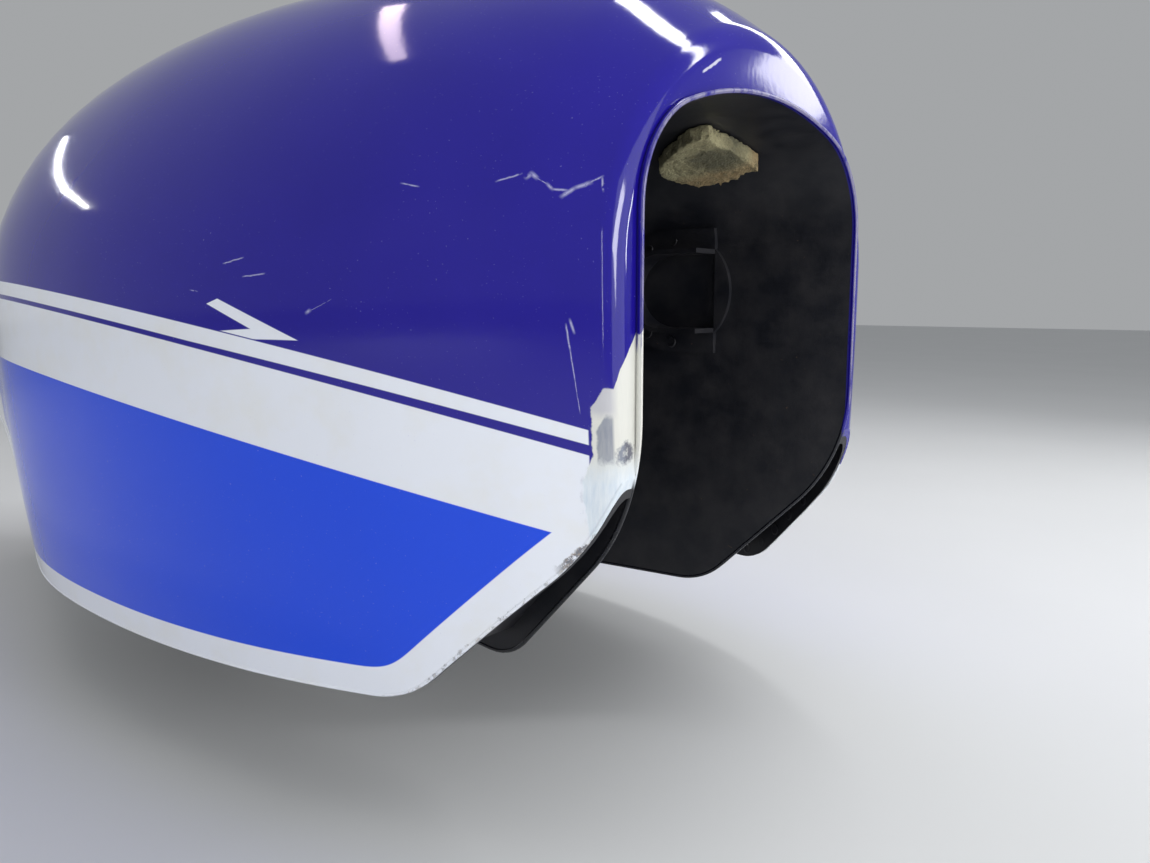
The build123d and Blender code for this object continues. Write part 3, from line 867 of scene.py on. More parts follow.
def guide_spots():
    """Places and directions of the spot welds on the front guides' flanges."""
    low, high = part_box("front_guide_left")
    radius = (high.z - low.z) / 2
    thickness = 2 * MM
    from_rim = 4.5 * MM
    spots = []
    for along, up in around(radius - from_rim, (92, 125, 158, 202, 235, 268)):
        x = low.x + radius + along
        y = tunnel_half(FRONT_X - x) - thickness
        z = (low.z + high.z) / 2 + up
        spots += [((x, side * y, z), (0, -side, 0)) for side in (1, -1)]
    return spots


def weld_spots(repeat):
    """Spot welds of the hem and the front guides."""
    spot = turned("spot_item", MM * np.array([(0.5, 0.16), (1.6, 0.1), (1.9, 0.26), (2.3, 0.24),
                                              (2.7, 0.02), (2.7, -0.2)]), steps=16)
    return item_on_spots(repeat, "weld_spots", spot, hem_spots() + guide_spots(),
                         seed=4, spread=0.12, turn=2 * math.pi)


def cap_screws(repeat):
    """Countersunk screws that hold the cap's ring to the recess."""
    lid_gap = 0.4 * MM
    ring_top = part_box("cap_lid")[0].z - lid_gap
    head = turned("screw_item", MM * np.array([(0.8, 0.16), (2.5, 0.14), (2.7, 0.0),
                                               (2.7, -0.9)]))
    slotted(head, top=0.16 * MM, width=0.7 * MM, depth=0.5 * MM)
    spots = [((FILLER_X + along, across, ring_top), (0, 0, 1))
             for along, across in around(34 * MM, (48, 132, 228, 312))]
    return item_on_spots(repeat, "cap_screws", head, spots, seed=9)


def tap_bolts(repeat):
    """Hexagon bolts with washers that hold the tap under the floor."""
    middle = middle_of("tap_gasket")
    flange_t = 4 * MM
    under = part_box("tap_gasket")[0].z - flange_t
    bolt = turned("bolt_item", MM * np.array([
        (3.6, 5.0), (4.6, 4.9), (5.8, 4.3), (5.8, 1.1), (5.9, 1.0)]), across_flats=10 * MM)
    washer = turned("washer_item", MM * np.array([(5.6, 1.2), (5.9, 1.0), (5.9, 0.0), (5.6, -0.4)]))
    joined = bmesh.new()
    for piece in (bolt, washer):
        joined.from_mesh(piece.data)
    joined.to_mesh(bolt.data)
    joined.free()
    bpy.data.objects.remove(washer)
    reach = 18.6 * MM
    spots = [((middle.x + along, middle.y, under), (0, 0, -1)) for along in (reach, -reach)]
    return item_on_spots(repeat, "tap_bolts", bolt, spots, seed=2)


def face_screws(repeat):
    """Small slotted screws on the tap's face plate."""
    middle = middle_of("tap_face_plate")
    front_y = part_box("tap_face_plate")[1].y
    head = turned("head_item", MM * np.array([(0.6, 1.0), (1.2, 0.9), (1.7, 0.5), (1.8, 0.0),
                                              (1.8, -0.4)]), steps=20)
    slotted(head, top=1.0 * MM, width=0.45 * MM, depth=0.5 * MM)
    spots = [((middle.x + along, front_y, middle.z + up), (0, 1, 0))
             for along, up in around(10.4 * MM, (40, 140))]
    return item_on_spots(repeat, "face_screws", head, spots, seed=7)


# Foam pad under the tunnel's roof

PAD_ROOF_GAP = 0.3 * MM
PAD_T = 6.0 * MM

# How deep its border is torn and its surface crumbled, and how fine each is, per metre
TEAR = 1.3 * MM
TEAR_FINENESS = 260
CRUMBLE = 0.9 * MM
CRUMBLE_FINENESS = 180
CRUMB = 0.7 * MM

# Behind the front edge, to the left of the middle
PAD_OUTLINE = MM * np.array([
    (28.0, 8.0), (29.5, 17.0), (27.5, 29.0), (27.0, 44.0), (33.0, 43.2), (38.0, 45.4),
    (49.0, 45.0), (56.0, 43.5), (62.0, 39.0), (66.0, 32.0), (64.0, 26.0), (58.0, 20.5),
    (50.0, 15.5), (43.0, 10.5), (36.0, 7.0),
])


def tunnel_depth(x, y, z):
    """How far a point in the tunnel lies from its wall."""
    half, roof, corner_r, reach, centre_z, roof_r, turn = tunnel_at(FRONT_X - x)
    y = np.abs(y)
    corner = corner_r - np.hypot(y - reach, z - centre_z)
    top = roof_r - np.hypot(y, z - roof + roof_r)
    angle = np.arctan2(z - roof + roof_r, y)
    return np.where(z < centre_z, half - y, np.where(angle > turn, top, corner))


def foam_pad():
    """Torn piece of foam stuck to the roof, with a crumbling edge."""
    outline = []
    count = len(PAD_OUTLINE)
    for k in range(count):
        first, last = PAD_OUTLINE[k], PAD_OUTLINE[(k + 1) % count]
        steps = max(1, round(np.linalg.norm(last - first) / (1.5 * MM)))
        for step in range(steps):
            here = first + (last - first) * step / steps
            tear = noise.noise(Vector((*here, 0)) * TEAR_FINENESS) * TEAR
            inward = PAD_OUTLINE.mean(0) - here
            outline.append(here + inward / np.linalg.norm(inward) * abs(tear))
    under_roof, over_roof = 0.03, 0.08
    rings = [np.array([(FRONT_X - behind, y, z) for behind, y in outline])
             for z in (under_roof, over_roof)]
    pad = closed_tube("foam_pad", rings)
    cut(pad, tunnel_solid(-PAD_ROOF_GAP), "INTERSECT")
    cut(pad, tunnel_solid(-PAD_ROOF_GAP - PAD_T), "DIFFERENCE")
    cells = pad.modifiers.new("cells", "REMESH")
    cells.mode = "VOXEL"
    cells.voxel_size = CRUMB
    relax = pad.modifiers.new("relax", "SMOOTH")
    relax.factor = 0.5
    relax.iterations = 3
    bake_modifiers(pad)
    for vertex in pad.data.vertices:
        lump = noise.fractal(vertex.co * CRUMBLE_FINENESS, 0.8, 2.0, 3)
        vertex.co -= vertex.normal * (abs(lump) * CRUMBLE)
    spots = mesh_values(pad.data.vertices, "co", 3)
    short = np.maximum(PAD_ROOF_GAP - tunnel_depth(*spots.T), 0)
    for vertex, drop in zip(pad.data.vertices, short):
        vertex.co.z -= drop
    pad.data.shade_smooth()
    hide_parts("tunnel_pad")
    return pad


# Camera: at the photograph's angle, low by the front right corner
CAMERA_PLACE = Vector((757.7, -291.7, 0.3)) * MM
CAMERA_FORWARD = Vector((-0.6497, 0.7474, -0.1392))
CAMERA_LENS = 29.36


def make_camera():
    """Camera at the photograph's place and angle."""
    data = bpy.data.cameras.new("camera")
    data.lens = CAMERA_LENS
    data.clip_start = 0.01
    camera = add_object("camera", data)
    camera.location = CAMERA_PLACE
    camera.rotation_mode = "QUATERNION"
    camera.rotation_quaternion = CAMERA_FORWARD.to_track_quat("-Z", "Y")
    bpy.context.scene.camera = camera


# Finishes


def srgb(red, green, blue):
    """Linear colour from the usual 0 to 255 numbers."""
    parts = [value / 255 for value in (red, green, blue)]
    linear = [v / 12.92 if v <= 0.04045 else ((v + 0.055) / 1.055) ** 2.4 for v in parts]
    return (*linear, 1.0)


class Look(Tree):
    """A finish on Object coordinates, which it reads in millimetres."""

    def __init__(self, name):
        self.material = bpy.data.materials.new(name)
        self.material.use_nodes = True
        super().__init__(self.material.node_tree)
        self.tree.nodes.clear()
        spot = self.node("ShaderNodeTexCoord").outputs["Object"]
        scaled = self.node("ShaderNodeVectorMath", {"operation": "SCALE"},
                           {0: spot, "Scale": 1000.0})
        self.place = scaled.outputs[0]
        apart = self.node("ShaderNodeSeparateXYZ", values={0: self.place})
        self.x, self.y, self.z = (Value(self, socket) for socket in apart.outputs)

    def noise(self, size, detail=2.0, roughness=0.5, stretch=None):
        """Cloudy pattern from 0 to 1, with patches this many millimetres wide."""
        place = self.place
        if stretch:
            longer = self.node("ShaderNodeVectorMath", {"operation": "DIVIDE"},
                               {0: place, 1: stretch})
            place = longer.outputs[0]
        made = self.node("ShaderNodeTexNoise", values={
            "Vector": place, "Scale": 1 / size, "Detail": detail, "Roughness": roughness})
        return Value(self, made.outputs[0])

    def cells(self, size, feature="F1"):
        """Distance pattern of cells this many millimetres wide."""
        made = self.node("ShaderNodeTexVoronoi", {"feature": feature},
                         {"Vector": self.place, "Scale": 1 / size})
        return Value(self, made.outputs["Distance"])

    def above(self, value, edge, soft):
        """1 where the value is past the edge and 0 before it, with a border that soft."""
        return self.maths("MULTIPLY_ADD", value - edge, 1 / soft, 0.5, clamp=True)

    def below(self, value, edge, soft):
        """1 where the value is short of the edge and 0 past it."""
        return 1 - self.above(value, edge, soft)

    def between(self, value, low, high, soft):
        """1 where the value lies between two edges."""
        return self.above(value, low, soft) * self.below(value, high, soft)

    def least(self, first, second):
        """The smaller of two values."""
        return self.maths("MINIMUM", first, second)

    def most(self, first, second):
        """The larger of two values."""
        return self.maths("MAXIMUM", first, second)

    def scratch(self, across, along, first, last, width):
        """Line in a plane of two values, from one point to another."""
        run = (last[0] - first[0], last[1] - first[1])
        length = math.hypot(*run)
        way = (run[0] / length, run[1] / length)
        right = across - first[0]
        up = along - first[1]
        travel = right * way[0] + up * way[1]
        off = abs(right * way[1] - up * way[0])
        return self.below(off, width / 2, width) * self.between(travel, 0, length, 1.5)

    def mix(self, share, first, second):
        """Colour between two colours."""
        made = self.node("ShaderNodeMix", {"data_type": "RGBA"}, {0: share, 6: first, 7: second})
        return made.outputs[2]

    def bump(self, height, depth, under=None):
        """Normal from a height pattern whose full step is this many millimetres."""
        values = {"Height": height, "Distance": depth * MM, "Strength": 1.0}
        if under:
            values["Normal"] = under
        return self.node("ShaderNodeBump", values=values).outputs[0]

    def finish(self, values):
        """Ends the material with one shader of these values."""
        shader = self.node("ShaderNodeBsdfPrincipled", values=values)
        self.node("ShaderNodeOutputMaterial", values={0: shader.outputs[0]})
        return self.material


VIOLET = srgb(26, 16, 134)
COBALT = srgb(0, 70, 224)
WHITE = srgb(232, 236, 245)
CREAM = srgb(214, 214, 208)
GREY_FILLER = srgb(128, 134, 150)
BARE_STEEL = srgb(138, 134, 156)
RUST = srgb(112, 74, 44)
# Underside and tunnel: dark paint set as dark as they look in shade, so partly painted shade
UNDERSIDE_PAINT_AND_SHADE = srgb(21, 23, 31)


# Fine scratches on the right side: behind and height of both ends, and width
SCRATCHES = [
    ((104.0, 7.4), (96.0, 8.2), 0.3), ((112.0, 11.6), (104.4, 13.2), 0.3),
    ((126.8, 3.3), (124.2, 3.0), 0.25),
    ((81.4, -3.6), (80.2, -2.9), 0.7), ((79.8, -2.8), (73.2, 0.2), 0.1),
    ((28.0, 33.6), (23.1, 35.5), 0.35), ((21.4, 34.5), (20.6, 35.4), 0.8),
    ((20.6, 35.8), (19.1, 34.3), 0.7), ((19.1, 34.3), (16.6, 32.6), 0.16),
    ((16.6, 32.7), (15.3, 31.2), 0.5), ((15.3, 31.2), (12.1, 30.8), 0.45),
    ((12.9, 29.2), (10.5, 31.5), 0.75), ((10.5, 31.5), (7.5, 33.0), 0.8),
    ((7.5, 33.0), (5.4, 34.7), 0.35), ((5.2, 34.4), (4.4, 30.9), 0.3),
    ((53.0, 33.6), (48.5, 32.6), 0.3), ((11.1, -6.9), (10.3, -14.0), 0.28),
    ((10.3, -14.0), (9.4, -22.6), 0.2), ((9.4, -22.6), (8.4, -32.0), 0.13),
    ((10.2, -5.5), (9.4, -8.9), 0.4),
]


# Stripes, in millimetres. "Drop" is the height below the line that the pin stripe follows.
PIN_LINE = (0.092, 0.324, -66.0)
BAND_DROP = 6.95
PANEL_DROP = 33.2
PANEL_BORDER = 10.4
STRIPES_FROM = 6.7
STRIPES_TO = 541.0
CRISP = 0.25

# Pin stripe: width in front, what it gains for each millimetre behind, and how far back
PIN_WIDTH, PIN_GAIN, PIN_GAIN_TO = 3.65, 0.010, 130.0

# Edges of the spur over the band and of the notch in it: slope, and drop at the front
SPUR_TOP = (0.230, 15.6)
SPUR_UNDER = (-0.19, -20.1)
NOTCH_TOP = (0.262, 23.0)
NOTCH_UNDER = (-0.24, -28.4)

# Rear ends of panel and spur: place, and how far it moves for each millimetre of drop
PANEL_END, PANEL_END_SLANT = 505.0, 0.35
SPUR_END, SPUR_END_SLANT = 137.0, 2.0

# Lower edge of the body: slope of its slanted front and rear parts, and the factor that
# makes the height over each the distance from it
FRONT_SLANT, FRONT_FACTOR = 0.984, 0.713
REAR_SLANT, REAR_FACTOR = 0.2966, 0.959

# Repaired corner: height of its top, and middle of the bare chip in it (side, height)
PATCH_TOP = -6.0
CHIP_SIDE = 75.6
CHIP_HEIGHT = -44.5


def low_edge_distance(look, behind):
    """Distance above the body's lower edge."""
    floor = look.z - FLOOR_Z / MM
    front = (look.z - CORNER_Z / MM + FRONT_SLANT * (behind + LIP / MM)) * FRONT_FACTOR
    rear = (floor - REAR_SLANT * (behind - FLOOR_TO / MM)) * REAR_FACTOR
    lower = look.maths("SMOOTH_MIN", front, floor, 9.0)
    return look.maths("SMOOTH_MIN", lower, rear, 9.0)


def stripes(look, behind, drop, low_edge):
    """Shares of white and of cobalt over the violet paint."""

    def under(line):
        slope, edge = line
        return look.above(drop + slope * behind, edge, CRISP)

    ends = look.above(behind, STRIPES_FROM, 0.3) * look.below(behind, STRIPES_TO, 0.5)
    pin_width = look.maths("MULTIPLY_ADD", look.least(behind, PIN_GAIN_TO), PIN_GAIN, PIN_WIDTH)
    pin = look.above(drop, -0.45, CRISP) * look.below(drop - pin_width, 0.15, CRISP)
    band = look.above(drop, BAND_DROP, CRISP)
    panel = look.above(drop, PANEL_DROP, 0.3) * look.above(low_edge, PANEL_BORDER, 0.3)
    panel = panel * look.below(behind, PANEL_END - PANEL_END_SLANT * drop, 0.6)
    notch = under(NOTCH_TOP) * (1 - under(NOTCH_UNDER))
    spur = under(SPUR_TOP) * (1 - under(SPUR_UNDER)) * (1 - notch)
    spur = spur * look.below(behind - SPUR_END_SLANT * drop, SPUR_END, 0.4)
    spur = spur * look.below(drop, -0.85, CRISP)
    return look.most(look.most(pin, band), spur) * ends, panel * ends


def side_of_tunnel(look, behind):
    """Half width of the tunnel in millimetres, as a value."""
    near, middle, far = TUNNEL[:, :2] / MM
    first = look.least(behind, middle[0])
    rest = look.most(behind - middle[0], 0.0)
    narrowing = (middle[1] - near[1]) / (middle[0] - near[0])
    tapering = (far[1] - middle[1]) / (far[0] - middle[0])
    return (first - near[0]) * narrowing + near[1] + rest * tapering


def repaired_corner(look, behind, side, right, ragged, fine, brushed):
    """Share and colour of the front corner's filler and primer, with a painted dent shadow in its
    chip, and the share of a painted shadow line along its border.
    """
    z = look.z
    border = (2.7 + 3.2 * look.above(-z, 27.6, 6.5) + 2.5 * look.above(-z, 49.0, 8.0)
              - 1.1 * look.above(-z, 64.0, 12.0) + 1.6 * ragged)
    bulge = look.least(215.3 - 3.0 * side, 98.0 - 1.5 * side)
    under_top = look.most(bulge, -25.3) - z
    low_enough = look.below(z, PATCH_TOP, 2.0)
    share = look.above(border - behind, 0.0, 0.35) * look.above(under_top + 1.2 * ragged, 0.0, 0.5)
    share = share * right * low_enough

    low_down = look.above(-z + 5.0 * ragged, 49.0, 9.0)
    colour = look.mix(low_down, look.mix(brushed, CREAM, srgb(224, 224, 216)),
                      look.mix(brushed, srgb(190, 206, 222), srgb(236, 240, 242)))
    thin = look.above(z, -33.0 + 3.0 * ragged, 3.0) * look.above(behind, 1.3, 1.2)
    colour = look.mix(thin * 0.55, colour, srgb(168, 168, 186))
    smear_back = look.least(2.4 - 0.42 * (z + 32.0), 4.8)
    smear = (look.between(behind, 1.5, smear_back + 1.2 * ragged, 0.5)
             * look.between(z, -47.2 + 7.0 * ragged, -33.5 + 6.0 * ragged, 2.2))
    colour = look.mix(smear * (0.55 + 0.5 * brushed), colour, GREY_FILLER)
    chip_y = (side - CHIP_SIDE + 0.2 * (z - CHIP_HEIGHT)) / 3.1
    chip_z = (z - CHIP_HEIGHT) / 3.3
    out = look.maths("SQRT", chip_y * chip_y + chip_z * chip_z) + 1.1 * ragged + 0.8 * fine
    chip = look.below(out, 0.95, 0.5) * look.above(out, 0.25, 0.4) * look.below(behind, 1.6, 0.6)
    # The chip's inner half is painted shadow of a dent, dark navy; its outer half is grey-blue
    chip_and_dent_shadow_colour = look.mix(look.above(side, 76.2, 1.6), srgb(42, 46, 78), srgb(104, 112, 134))
    colour = look.mix(chip * 0.85, colour, chip_and_dent_shadow_colour)

    # Painted shadow: a thin dark line along the repair's raised border
    border_shadow = look.between(border - behind, -0.5, 0.15, 0.3) * look.above(under_top, 0.0, 0.5)
    border_shadow = border_shadow * right * look.above(ragged, 0.10, 0.2) * low_enough
    return share, colour, border_shadow


def worn_edge(look, behind, low_edge, right, ragged, yellowed):
    """Share of paint that is gone along the lower edge and its front corner."""
    flakes = look.above(look.noise(2.4, 5.0, 0.65), 0.55, 0.05)
    low = look.below(low_edge, 0.9 + 2.6 * ragged, 0.4) * flakes
    low = low * look.between(behind, 3.0, 66.0, 12.0) * (1 - 0.5 * yellowed)
    corner = (look.below(low_edge, 2.6 + 4.0 * ragged, 0.6)
              * look.above(look.noise(1.6, 4.0, 0.7), 0.46, 0.06)
              * look.between(behind, 4.0, 15.0, 3.0) * right)
    return look.most(low * 0.8, corner)


def scratch_lines(look, behind, right, ragged):
    """Share of the fine scratches, each broken here and there."""
    lines = 0.0
    for first, last, width in SCRATCHES:
        line = look.scratch(behind + 0.5 * ragged, look.z + 0.7 * ragged, first, last, width)
        lines = look.most(lines, line)
    return lines * right * look.above(look.noise(1.7, 2.0, 0.6), 0.36, 0.12)


def paint():
    """Violet paint with its stripes, the repaired front corner, and its specks and scratches."""
    look = Look("paint")
    behind = FRONT_X / MM - look.x
    side = abs(look.y)
    right = look.below(look.y, 0.0, 0.1)
    behind_share, side_share, top = PIN_LINE
    drop = behind_share * behind + side_share * side + top - look.z
    low_edge = low_edge_distance(look, behind)
    white, cobalt = stripes(look, behind, drop, low_edge)

    clouds = look.noise(38.0, 2.0)
    violet = look.mix(clouds, VIOLET, srgb(34, 24, 146))
    yellowed = look.noise(21.0, 4.0, 0.6)
    pale = look.mix(look.above(yellowed, 0.62, 0.3) * 0.5, WHITE, srgb(228, 228, 222))
    colour = look.mix(white, violet, pale)
    colour = look.mix(cobalt, colour, COBALT)

    ragged = look.noise(3.2, 4.0, 0.6) - 0.5
    fine = look.noise(0.9, 2.0) - 0.5
    brushed = look.noise(1.0, 3.0, 0.6, (1.2, 1.2, 7.0))
    filler, primer, border_shadow = repaired_corner(look, behind, side, right, ragged, fine, brushed)
    colour = look.mix(filler, colour, primer)
    # Painted shadow line along the repair's border
    colour = look.mix(border_shadow * 0.22, colour, srgb(96, 104, 136))

    worn = worn_edge(look, behind, low_edge, right, ragged, yellowed)
    worn_colour = look.mix(look.above(fine, -0.06, 0.2), srgb(128, 108, 84), srgb(66, 66, 76))
    colour = look.mix(worn * 0.8, colour, worn_colour)

    crest = look.above(look.x, FRONT_X / MM + 1.7, 0.3) * (1 - filler)
    scuffed = crest * look.above(look.noise(5.0, 5.0, 0.6, (1.0, 1.0, 2.5)), 0.42, 0.25)
    colour = look.mix(scuffed * 0.8, colour, BARE_STEEL)
    # Painted shade: the tunnel sheet's edge below the arch takes the near-black underside colour
    sheet = look.below(side - side_of_tunnel(look, behind), 1.6, 0.3)
    sheet = sheet * look.above(behind, 0.6, 1.0) * look.below(look.z, -24.0, 3.0)
    colour = look.mix(sheet, colour, UNDERSIDE_PAINT_AND_SHADE)
    chip_along = look.y + 34.0
    arch_chip = look.below(abs(look.z - 72.4 - 0.55 * chip_along - 1.2 * ragged),
                           0.45 + 0.5 * fine, 0.3)
    arch_chip = arch_chip * look.between(chip_along, -4.8, 5.2, 1.0)
    arch_chip = arch_chip * look.above(look.x, 584.0, 1.0)
    colour = look.mix(arch_chip * 0.85, colour, srgb(216, 214, 228))

    lines = scratch_lines(look, behind, right, ragged)
    dust = look.above(look.noise(0.55, 1.0), 0.775, 0.03) * look.above(clouds, 0.42, 0.3)
    marks = look.most(lines, dust * 0.5) * (1 - filler)
    colour = look.mix(marks * 0.75, colour, srgb(190, 190, 222))

    bare = look.most(look.most(filler * 0.8, look.most(worn, scuffed * 0.6)), marks * 0.5)
    peel = look.bump(look.noise(2.6, 1.0, 0.4), 0.010)
    step = look.bump(white + cobalt * 0.5 - 1.2 * filler - 0.8 * worn - 0.5 * lines, 0.045, peel)
    strokes = look.bump(brushed * filler + 0.5 * fine * worn, 0.05, step)
    return look.finish({"Base Color": colour, "Roughness": 0.06 + 0.04 * clouds + 0.5 * bare,
                        "IOR": 1.52, "Normal": strokes})


def underside_paint():
    """Near black stone-chip paint, its darkness partly painted shade of the tunnel, with dust on it
    and worn spots.
    """
    look = Look("underside_paint")
    dust = look.noise(14.0, 5.0, 0.6)
    grit = look.noise(0.8, 3.0, 0.6)
    colour = look.mix(look.above(dust, 0.55, 0.35) * 0.55, UNDERSIDE_PAINT_AND_SHADE, srgb(58, 56, 58))
    spots = look.above(look.noise(3.0, 5.0, 0.7), 0.70, 0.03)
    colour = look.mix(spots * 0.7, colour, srgb(88, 70, 56))
    lip = look.above(look.x, FRONT_X / MM + 0.1, 0.2)
    repaired = look.above(-look.y, 50.0, 4.0) * look.above(-look.z, 14.0, 3.0)
    colour = look.mix(lip, colour, look.mix(repaired, VIOLET, CREAM))
    runs = look.noise(7.0, 2.0, 0.5, (1.0, 1.0, 2.5))
    height = look.bump(grit + 0.8 * runs, 0.05)
    roughness = 0.34 + 0.3 * dust + 0.2 * spots
    return look.finish({"Base Color": colour, "Roughness": roughness, "Normal": height})


def plated(name, bright, dull, gloss, stains, pits, brushing=None):
    """Bare or plated metal with clouded shine, stains in patches and fine pits."""
    look = Look(name)
    cloud = look.noise(6.0, 4.0, 0.6)
    patches = look.above(look.noise(4.0, 5.0, 0.65), 0.62, 0.1)
    colour = look.mix(cloud, bright, dull)
    colour = look.mix(patches * stains, colour, RUST)
    specks = look.above(look.noise(0.45, 2.0), 0.74, 0.03) * pits
    colour = look.mix(specks, colour, srgb(70, 56, 44))
    brushed = look.noise(1.0, 3.0, 0.6, brushing or (1.0, 1.0, 1.0))
    height = look.bump(brushed - specks, 0.012 if brushing else 0.006)
    roughness = gloss + 0.12 * cloud + 0.35 * patches * stains + 0.3 * specks
    return look.finish({"Base Color": colour, "Metallic": 1 - 0.8 * patches * stains,
                        "Roughness": roughness, "Normal": height})


def chrome():
    """Chrome with a light haze of wiping marks and a few pits."""
    look = Look("chrome")
    haze = look.noise(11.0, 3.0, 0.6)
    hair = abs(look.noise(5.0, 1.0, 0.3, (3.0, 0.5, 3.0)) - 0.5)
    hair = look.below(hair, 0.002, 0.003)
    pits = look.above(look.noise(0.6, 2.0), 0.76, 0.02)
    colour = look.mix(haze, srgb(222, 224, 228), srgb(206, 208, 214))
    colour = look.mix(pits, colour, srgb(92, 78, 62))
    roughness = 0.05 + 0.08 * haze + 0.12 * hair + 0.4 * pits
    height = look.bump(0 - pits - 0.2 * hair, 0.01)
    return look.finish({"Base Color": colour, "Metallic": 1.0 - 0.7 * pits,
                        "Roughness": roughness, "Normal": height})


def matte_black():
    """Black moulded plastic with a fine grain."""
    look = Look("matte_black")
    grain = look.cells(0.5)
    dust = look.noise(8.0, 4.0)
    colour = look.mix(look.above(dust, 0.5, 0.4) * 0.35, srgb(24, 24, 26), srgb(62, 61, 60))
    return look.finish({"Base Color": colour, "Roughness": 0.5 + 0.2 * dust,
                        "Normal": look.bump(grain, 0.02)})


def rubber():
    """Aged black rubber, greyed and finely cracked."""
    look = Look("rubber")
    bloom = look.noise(7.0, 4.0, 0.6)
    cracks = look.below(look.cells(1.6, "DISTANCE_TO_EDGE"), 0.035, 0.04)
    cracks = cracks * look.above(bloom, 0.5, 0.15)
    colour = look.mix(bloom, srgb(26, 26, 27), srgb(58, 57, 57))
    colour = look.mix(cracks, colour, srgb(12, 12, 12))
    return look.finish({"Base Color": colour, "Roughness": 0.62 + 0.25 * bloom,
                        "Normal": look.bump(look.noise(0.7, 3.0) - cracks, 0.03)})


def die_cast():
    """Sand-textured cast alloy, dulled and stained in patches."""
    look = Look("die_cast")
    grain = look.noise(0.6, 3.0, 0.6)
    oxide = look.noise(5.0, 5.0, 0.65)
    colour = look.mix(oxide, srgb(172, 172, 174), srgb(138, 138, 142))
    colour = look.mix(look.above(oxide, 0.6, 0.15) * 0.6, colour, srgb(104, 98, 88))
    return look.finish({"Base Color": colour, "Metallic": 0.9 - 0.5 * look.above(oxide, 0.6, 0.2),
                        "Roughness": 0.36 + 0.3 * oxide, "Normal": look.bump(grain, 0.05)})


def strainer_gauze():
    """Fine woven gauze round the tap's strainer tube."""
    look = Look("strainer_gauze")
    middle = middle_of("tap_strainer") / MM
    turn = look.maths("ARCTAN2", look.y - middle.y, look.x - middle.x)
    warp = abs(look.maths("SINE", turn * 38))
    weft = abs(look.maths("SINE", look.z * 5.4))
    wire = look.most(warp, weft)
    bright = look.above(wire, 0.72, 0.2)
    colour = look.mix(bright, srgb(52, 44, 26), srgb(186, 156, 92))
    return look.finish({"Base Color": colour, "Metallic": bright, "Roughness": 0.42,
                        "Normal": look.bump(wire, 0.08)})


def foam():
    """Old open-celled foam, olive and beige, darkened where it is dirty."""
    look = Look("foam")
    patches = look.noise(9.0, 4.0, 0.6)
    dirt = look.noise(4.0, 5.0, 0.7)
    cells = look.cells(0.9)
    stain_x = (look.x - (FRONT_X / MM - 38.0)) / 11.0
    stain_y = (look.y - 28.0) / 9.0
    out = look.maths("SQRT", stain_x * stain_x + stain_y * stain_y)
    colour = look.mix(patches, srgb(182, 176, 140), srgb(155, 147, 111))
    colour = look.mix(look.above(look.y, 33.0 + 8.0 * patches, 6.0), colour, srgb(166, 145, 107))
    stain = look.below(out + 1.4 * (dirt - 0.5), 1.0, 0.5) * 0.75
    colour = look.mix(stain, colour, srgb(78, 78, 66))
    colour = look.mix(look.above(dirt, 0.56, 0.1) * 0.6, colour, srgb(110, 104, 80))
    holes = look.below(cells, 0.30, 0.3)
    colour = look.mix(holes * 0.3, colour, srgb(92, 84, 62))
    return look.finish({"Base Color": colour, "Roughness": 0.95,
                        "Normal": look.bump(cells + 0.8 * patches, 0.35)})


def make_finishes():
    """Every finish, by the record's slot."""
    return {
        "paint": paint(),
        "underside_paint": underside_paint(),
        "zinc_plate": plated("zinc_plate", srgb(196, 196, 190), srgb(168, 164, 150), 0.28, 0.5,
                             0.7),
        "chrome": chrome(),
        "steel": plated("steel", srgb(190, 190, 194), srgb(150, 148, 150), 0.24, 0.35, 0.5,
                        (3.0, 0.4, 3.0)),
        "brass": plated("brass", srgb(206, 172, 104), srgb(170, 134, 76), 0.24, 0.15, 0.4,
                        (0.4, 3.0, 3.0)),
        "matte_black": matte_black(),
        "rubber": rubber(),
        "die_cast": die_cast(),
        "strainer_gauze": strainer_gauze(),
        "foam": foam(),
    }


# Stage

GROUND_Z = -0.1765
STAGE_HALF = 6.0
PALE = (0.37, 0.38, 0.39, 1.0)


def make_stage():
    """Plain pale floor, and the same pale tone all round it."""
    corners = [(-STAGE_HALF, -STAGE_HALF), (STAGE_HALF, -STAGE_HALF),
               (STAGE_HALF, STAGE_HALF), (-STAGE_HALF, STAGE_HALF)]
    ground = new_mesh("ground", [(x, y, GROUND_Z) for x, y in corners], [], [(0, 1, 2, 3)])
    look = Look("ground")
    cloth = look.noise(180.0, 2.0)
    colour = look.mix(cloth, (0.62, 0.63, 0.64, 1.0), (0.66, 0.67, 0.68, 1.0))
    ground.data.materials.append(look.finish({"Base Color": colour, "Roughness": 0.9}))
    world = bpy.data.worlds.new("studio")
    world.use_nodes = True
    background = world.node_tree.nodes["Background"]
    background.inputs["Color"].default_value = PALE
    background.inputs["Strength"].default_value = 1.0
    bpy.context.scene.world = world


def lamp(name, first, last, aim, width, power, tint=(1.0, 1.0, 1.0), mirrored=True):
    """Rectangular lamp between two points, facing its aim; mirrored lamps show in gloss."""
    first, last = Vector(first), Vector(last)
    data = bpy.data.lights.new(name, "AREA")
    data.shape = "RECTANGLE"
    data.size = width
    data.size_y = (last - first).length
    data.energy = power
    data.color = tint
    made = add_object(name, data)
    made.location = (first + last) / 2
    along = (last - first).normalized()
    across = along.cross(made.location - Vector(aim)).normalized()
    away = across.cross(along)
    made.rotation_mode = "QUATERNION"
    made.rotation_quaternion = Matrix((across, along, away)).transposed().to_quaternion()
    made.visible_camera = False
    made.visible_glossy = mirrored


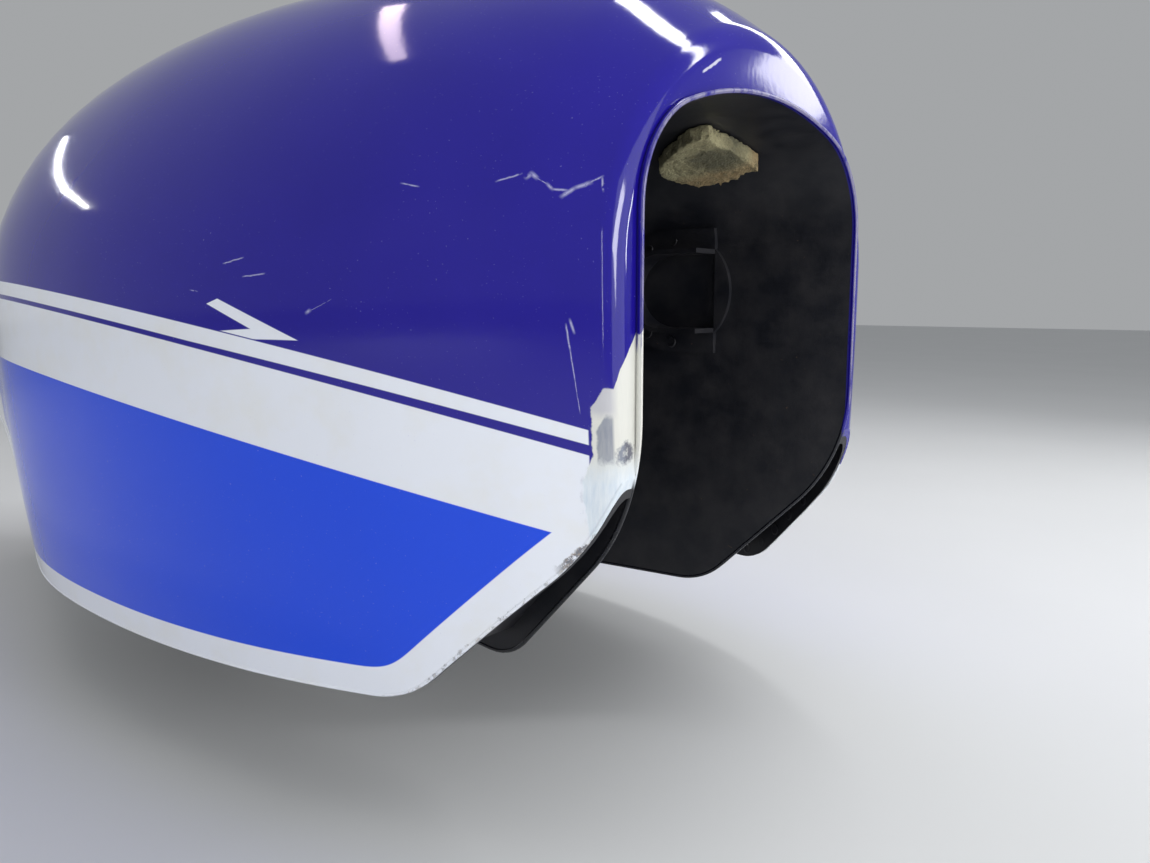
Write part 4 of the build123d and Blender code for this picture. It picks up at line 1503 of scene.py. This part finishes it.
def make_lamps():
    """Large soft lamps, and strips whose reflections run along the tank's rounded edges."""
    front = (0.58, -0.04, 0.08)
    lamp("overhead", (0.3, -0.9, 1.9), (0.3, 0.6, 1.9), (0.3, 0.0, 0.0), 1.2, 5.0, mirrored=False)
    lamp("right_fill", (0.2, -2.2, 0.6), (1.3, -2.0, 0.6), (0.5, 0.0, 0.0), 0.8, 10.5,
         mirrored=False)
    lamp("front_box", (1.68, -0.25, 0.20), (1.46, 0.60, 0.20), (0.59, -0.07, 0.05), 0.75, 2.2)
    lamp("tube_near", (0.32, 0.46, 1.04), (0.69, 0.36, 1.10), front, 0.10, 2.0)
    lamp("tube_bend", (0.69, 0.36, 1.10), (1.02, 0.43, 0.97), front, 0.09, 1.8)
    lamp("tube_down", (1.02, 0.43, 0.97), (1.25, 0.72, 0.53), front, 0.07, 2.0)
    lamp("tube_far", (0.28, 0.87, 0.86), (1.13, 0.98, 0.29), front, 0.12, 3.2)
    lamp("rear_box", (-0.27, 0.25, 0.95), (-0.06, -0.29, 1.12), (0.51, -0.09, 0.085), 0.05, 0.6,
         (1.0, 0.80, 0.88))
    lamp("rear_window", (-0.98, 0.05, 0.50), (-0.85, -0.62, 0.50), (0.37, -0.14, 0.05), 0.009, 0.9)
    lamp("front_strip", (1.40, -0.80, 0.30), (1.52, -0.76, -0.10), (0.586, -0.083, 0.0), 0.02, 0.35)
    lamp("edge_left", (1.63, 0.10, 0.40), (1.67, -0.10, 0.045), (0.589, -0.078, 0.02), 0.26, 4.0)
    lamp("edge_right", (1.42, 0.74, 0.24), (1.40, 0.69, 0.05), (0.590, -0.075, 0.02), 0.07, 0.8)


# Making

make_camera()
finishes = make_finishes()
for subpart in frame["record"]["subparts"]:
    node_object = frame["nodes"][subpart["node"]]
    node_object.data.materials.clear()
    node_object.data.materials.append(finishes[subpart["material_slot"]])

bead = bead_rule()
repeat = repeat_rule()
for piece, slot_name in (
    (painted_skin(), "paint"),
    (filler_pan(), "paint"),
    (hem_edge(bead), "paint"),
    (tunnel_edge(bead), "paint"),
    (bracket_weld(bead), "underside_paint"),
    (drain_weld(bead), "brass"),
    (weld_spots(repeat), "underside_paint"),
    (cap_screws(repeat), "steel"),
    (tap_bolts(repeat), "zinc_plate"),
    (face_screws(repeat), "steel"),
    (foam_pad(), "foam"),
):
    piece.data.materials.clear()
    piece.data.materials.append(finishes[slot_name])
    piece.data.polygons.foreach_set("material_index", [0] * len(piece.data.polygons))
    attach(piece, "tank")

make_stage()
make_lamps()
scene = bpy.context.scene
scene.view_settings.view_transform = "Standard"
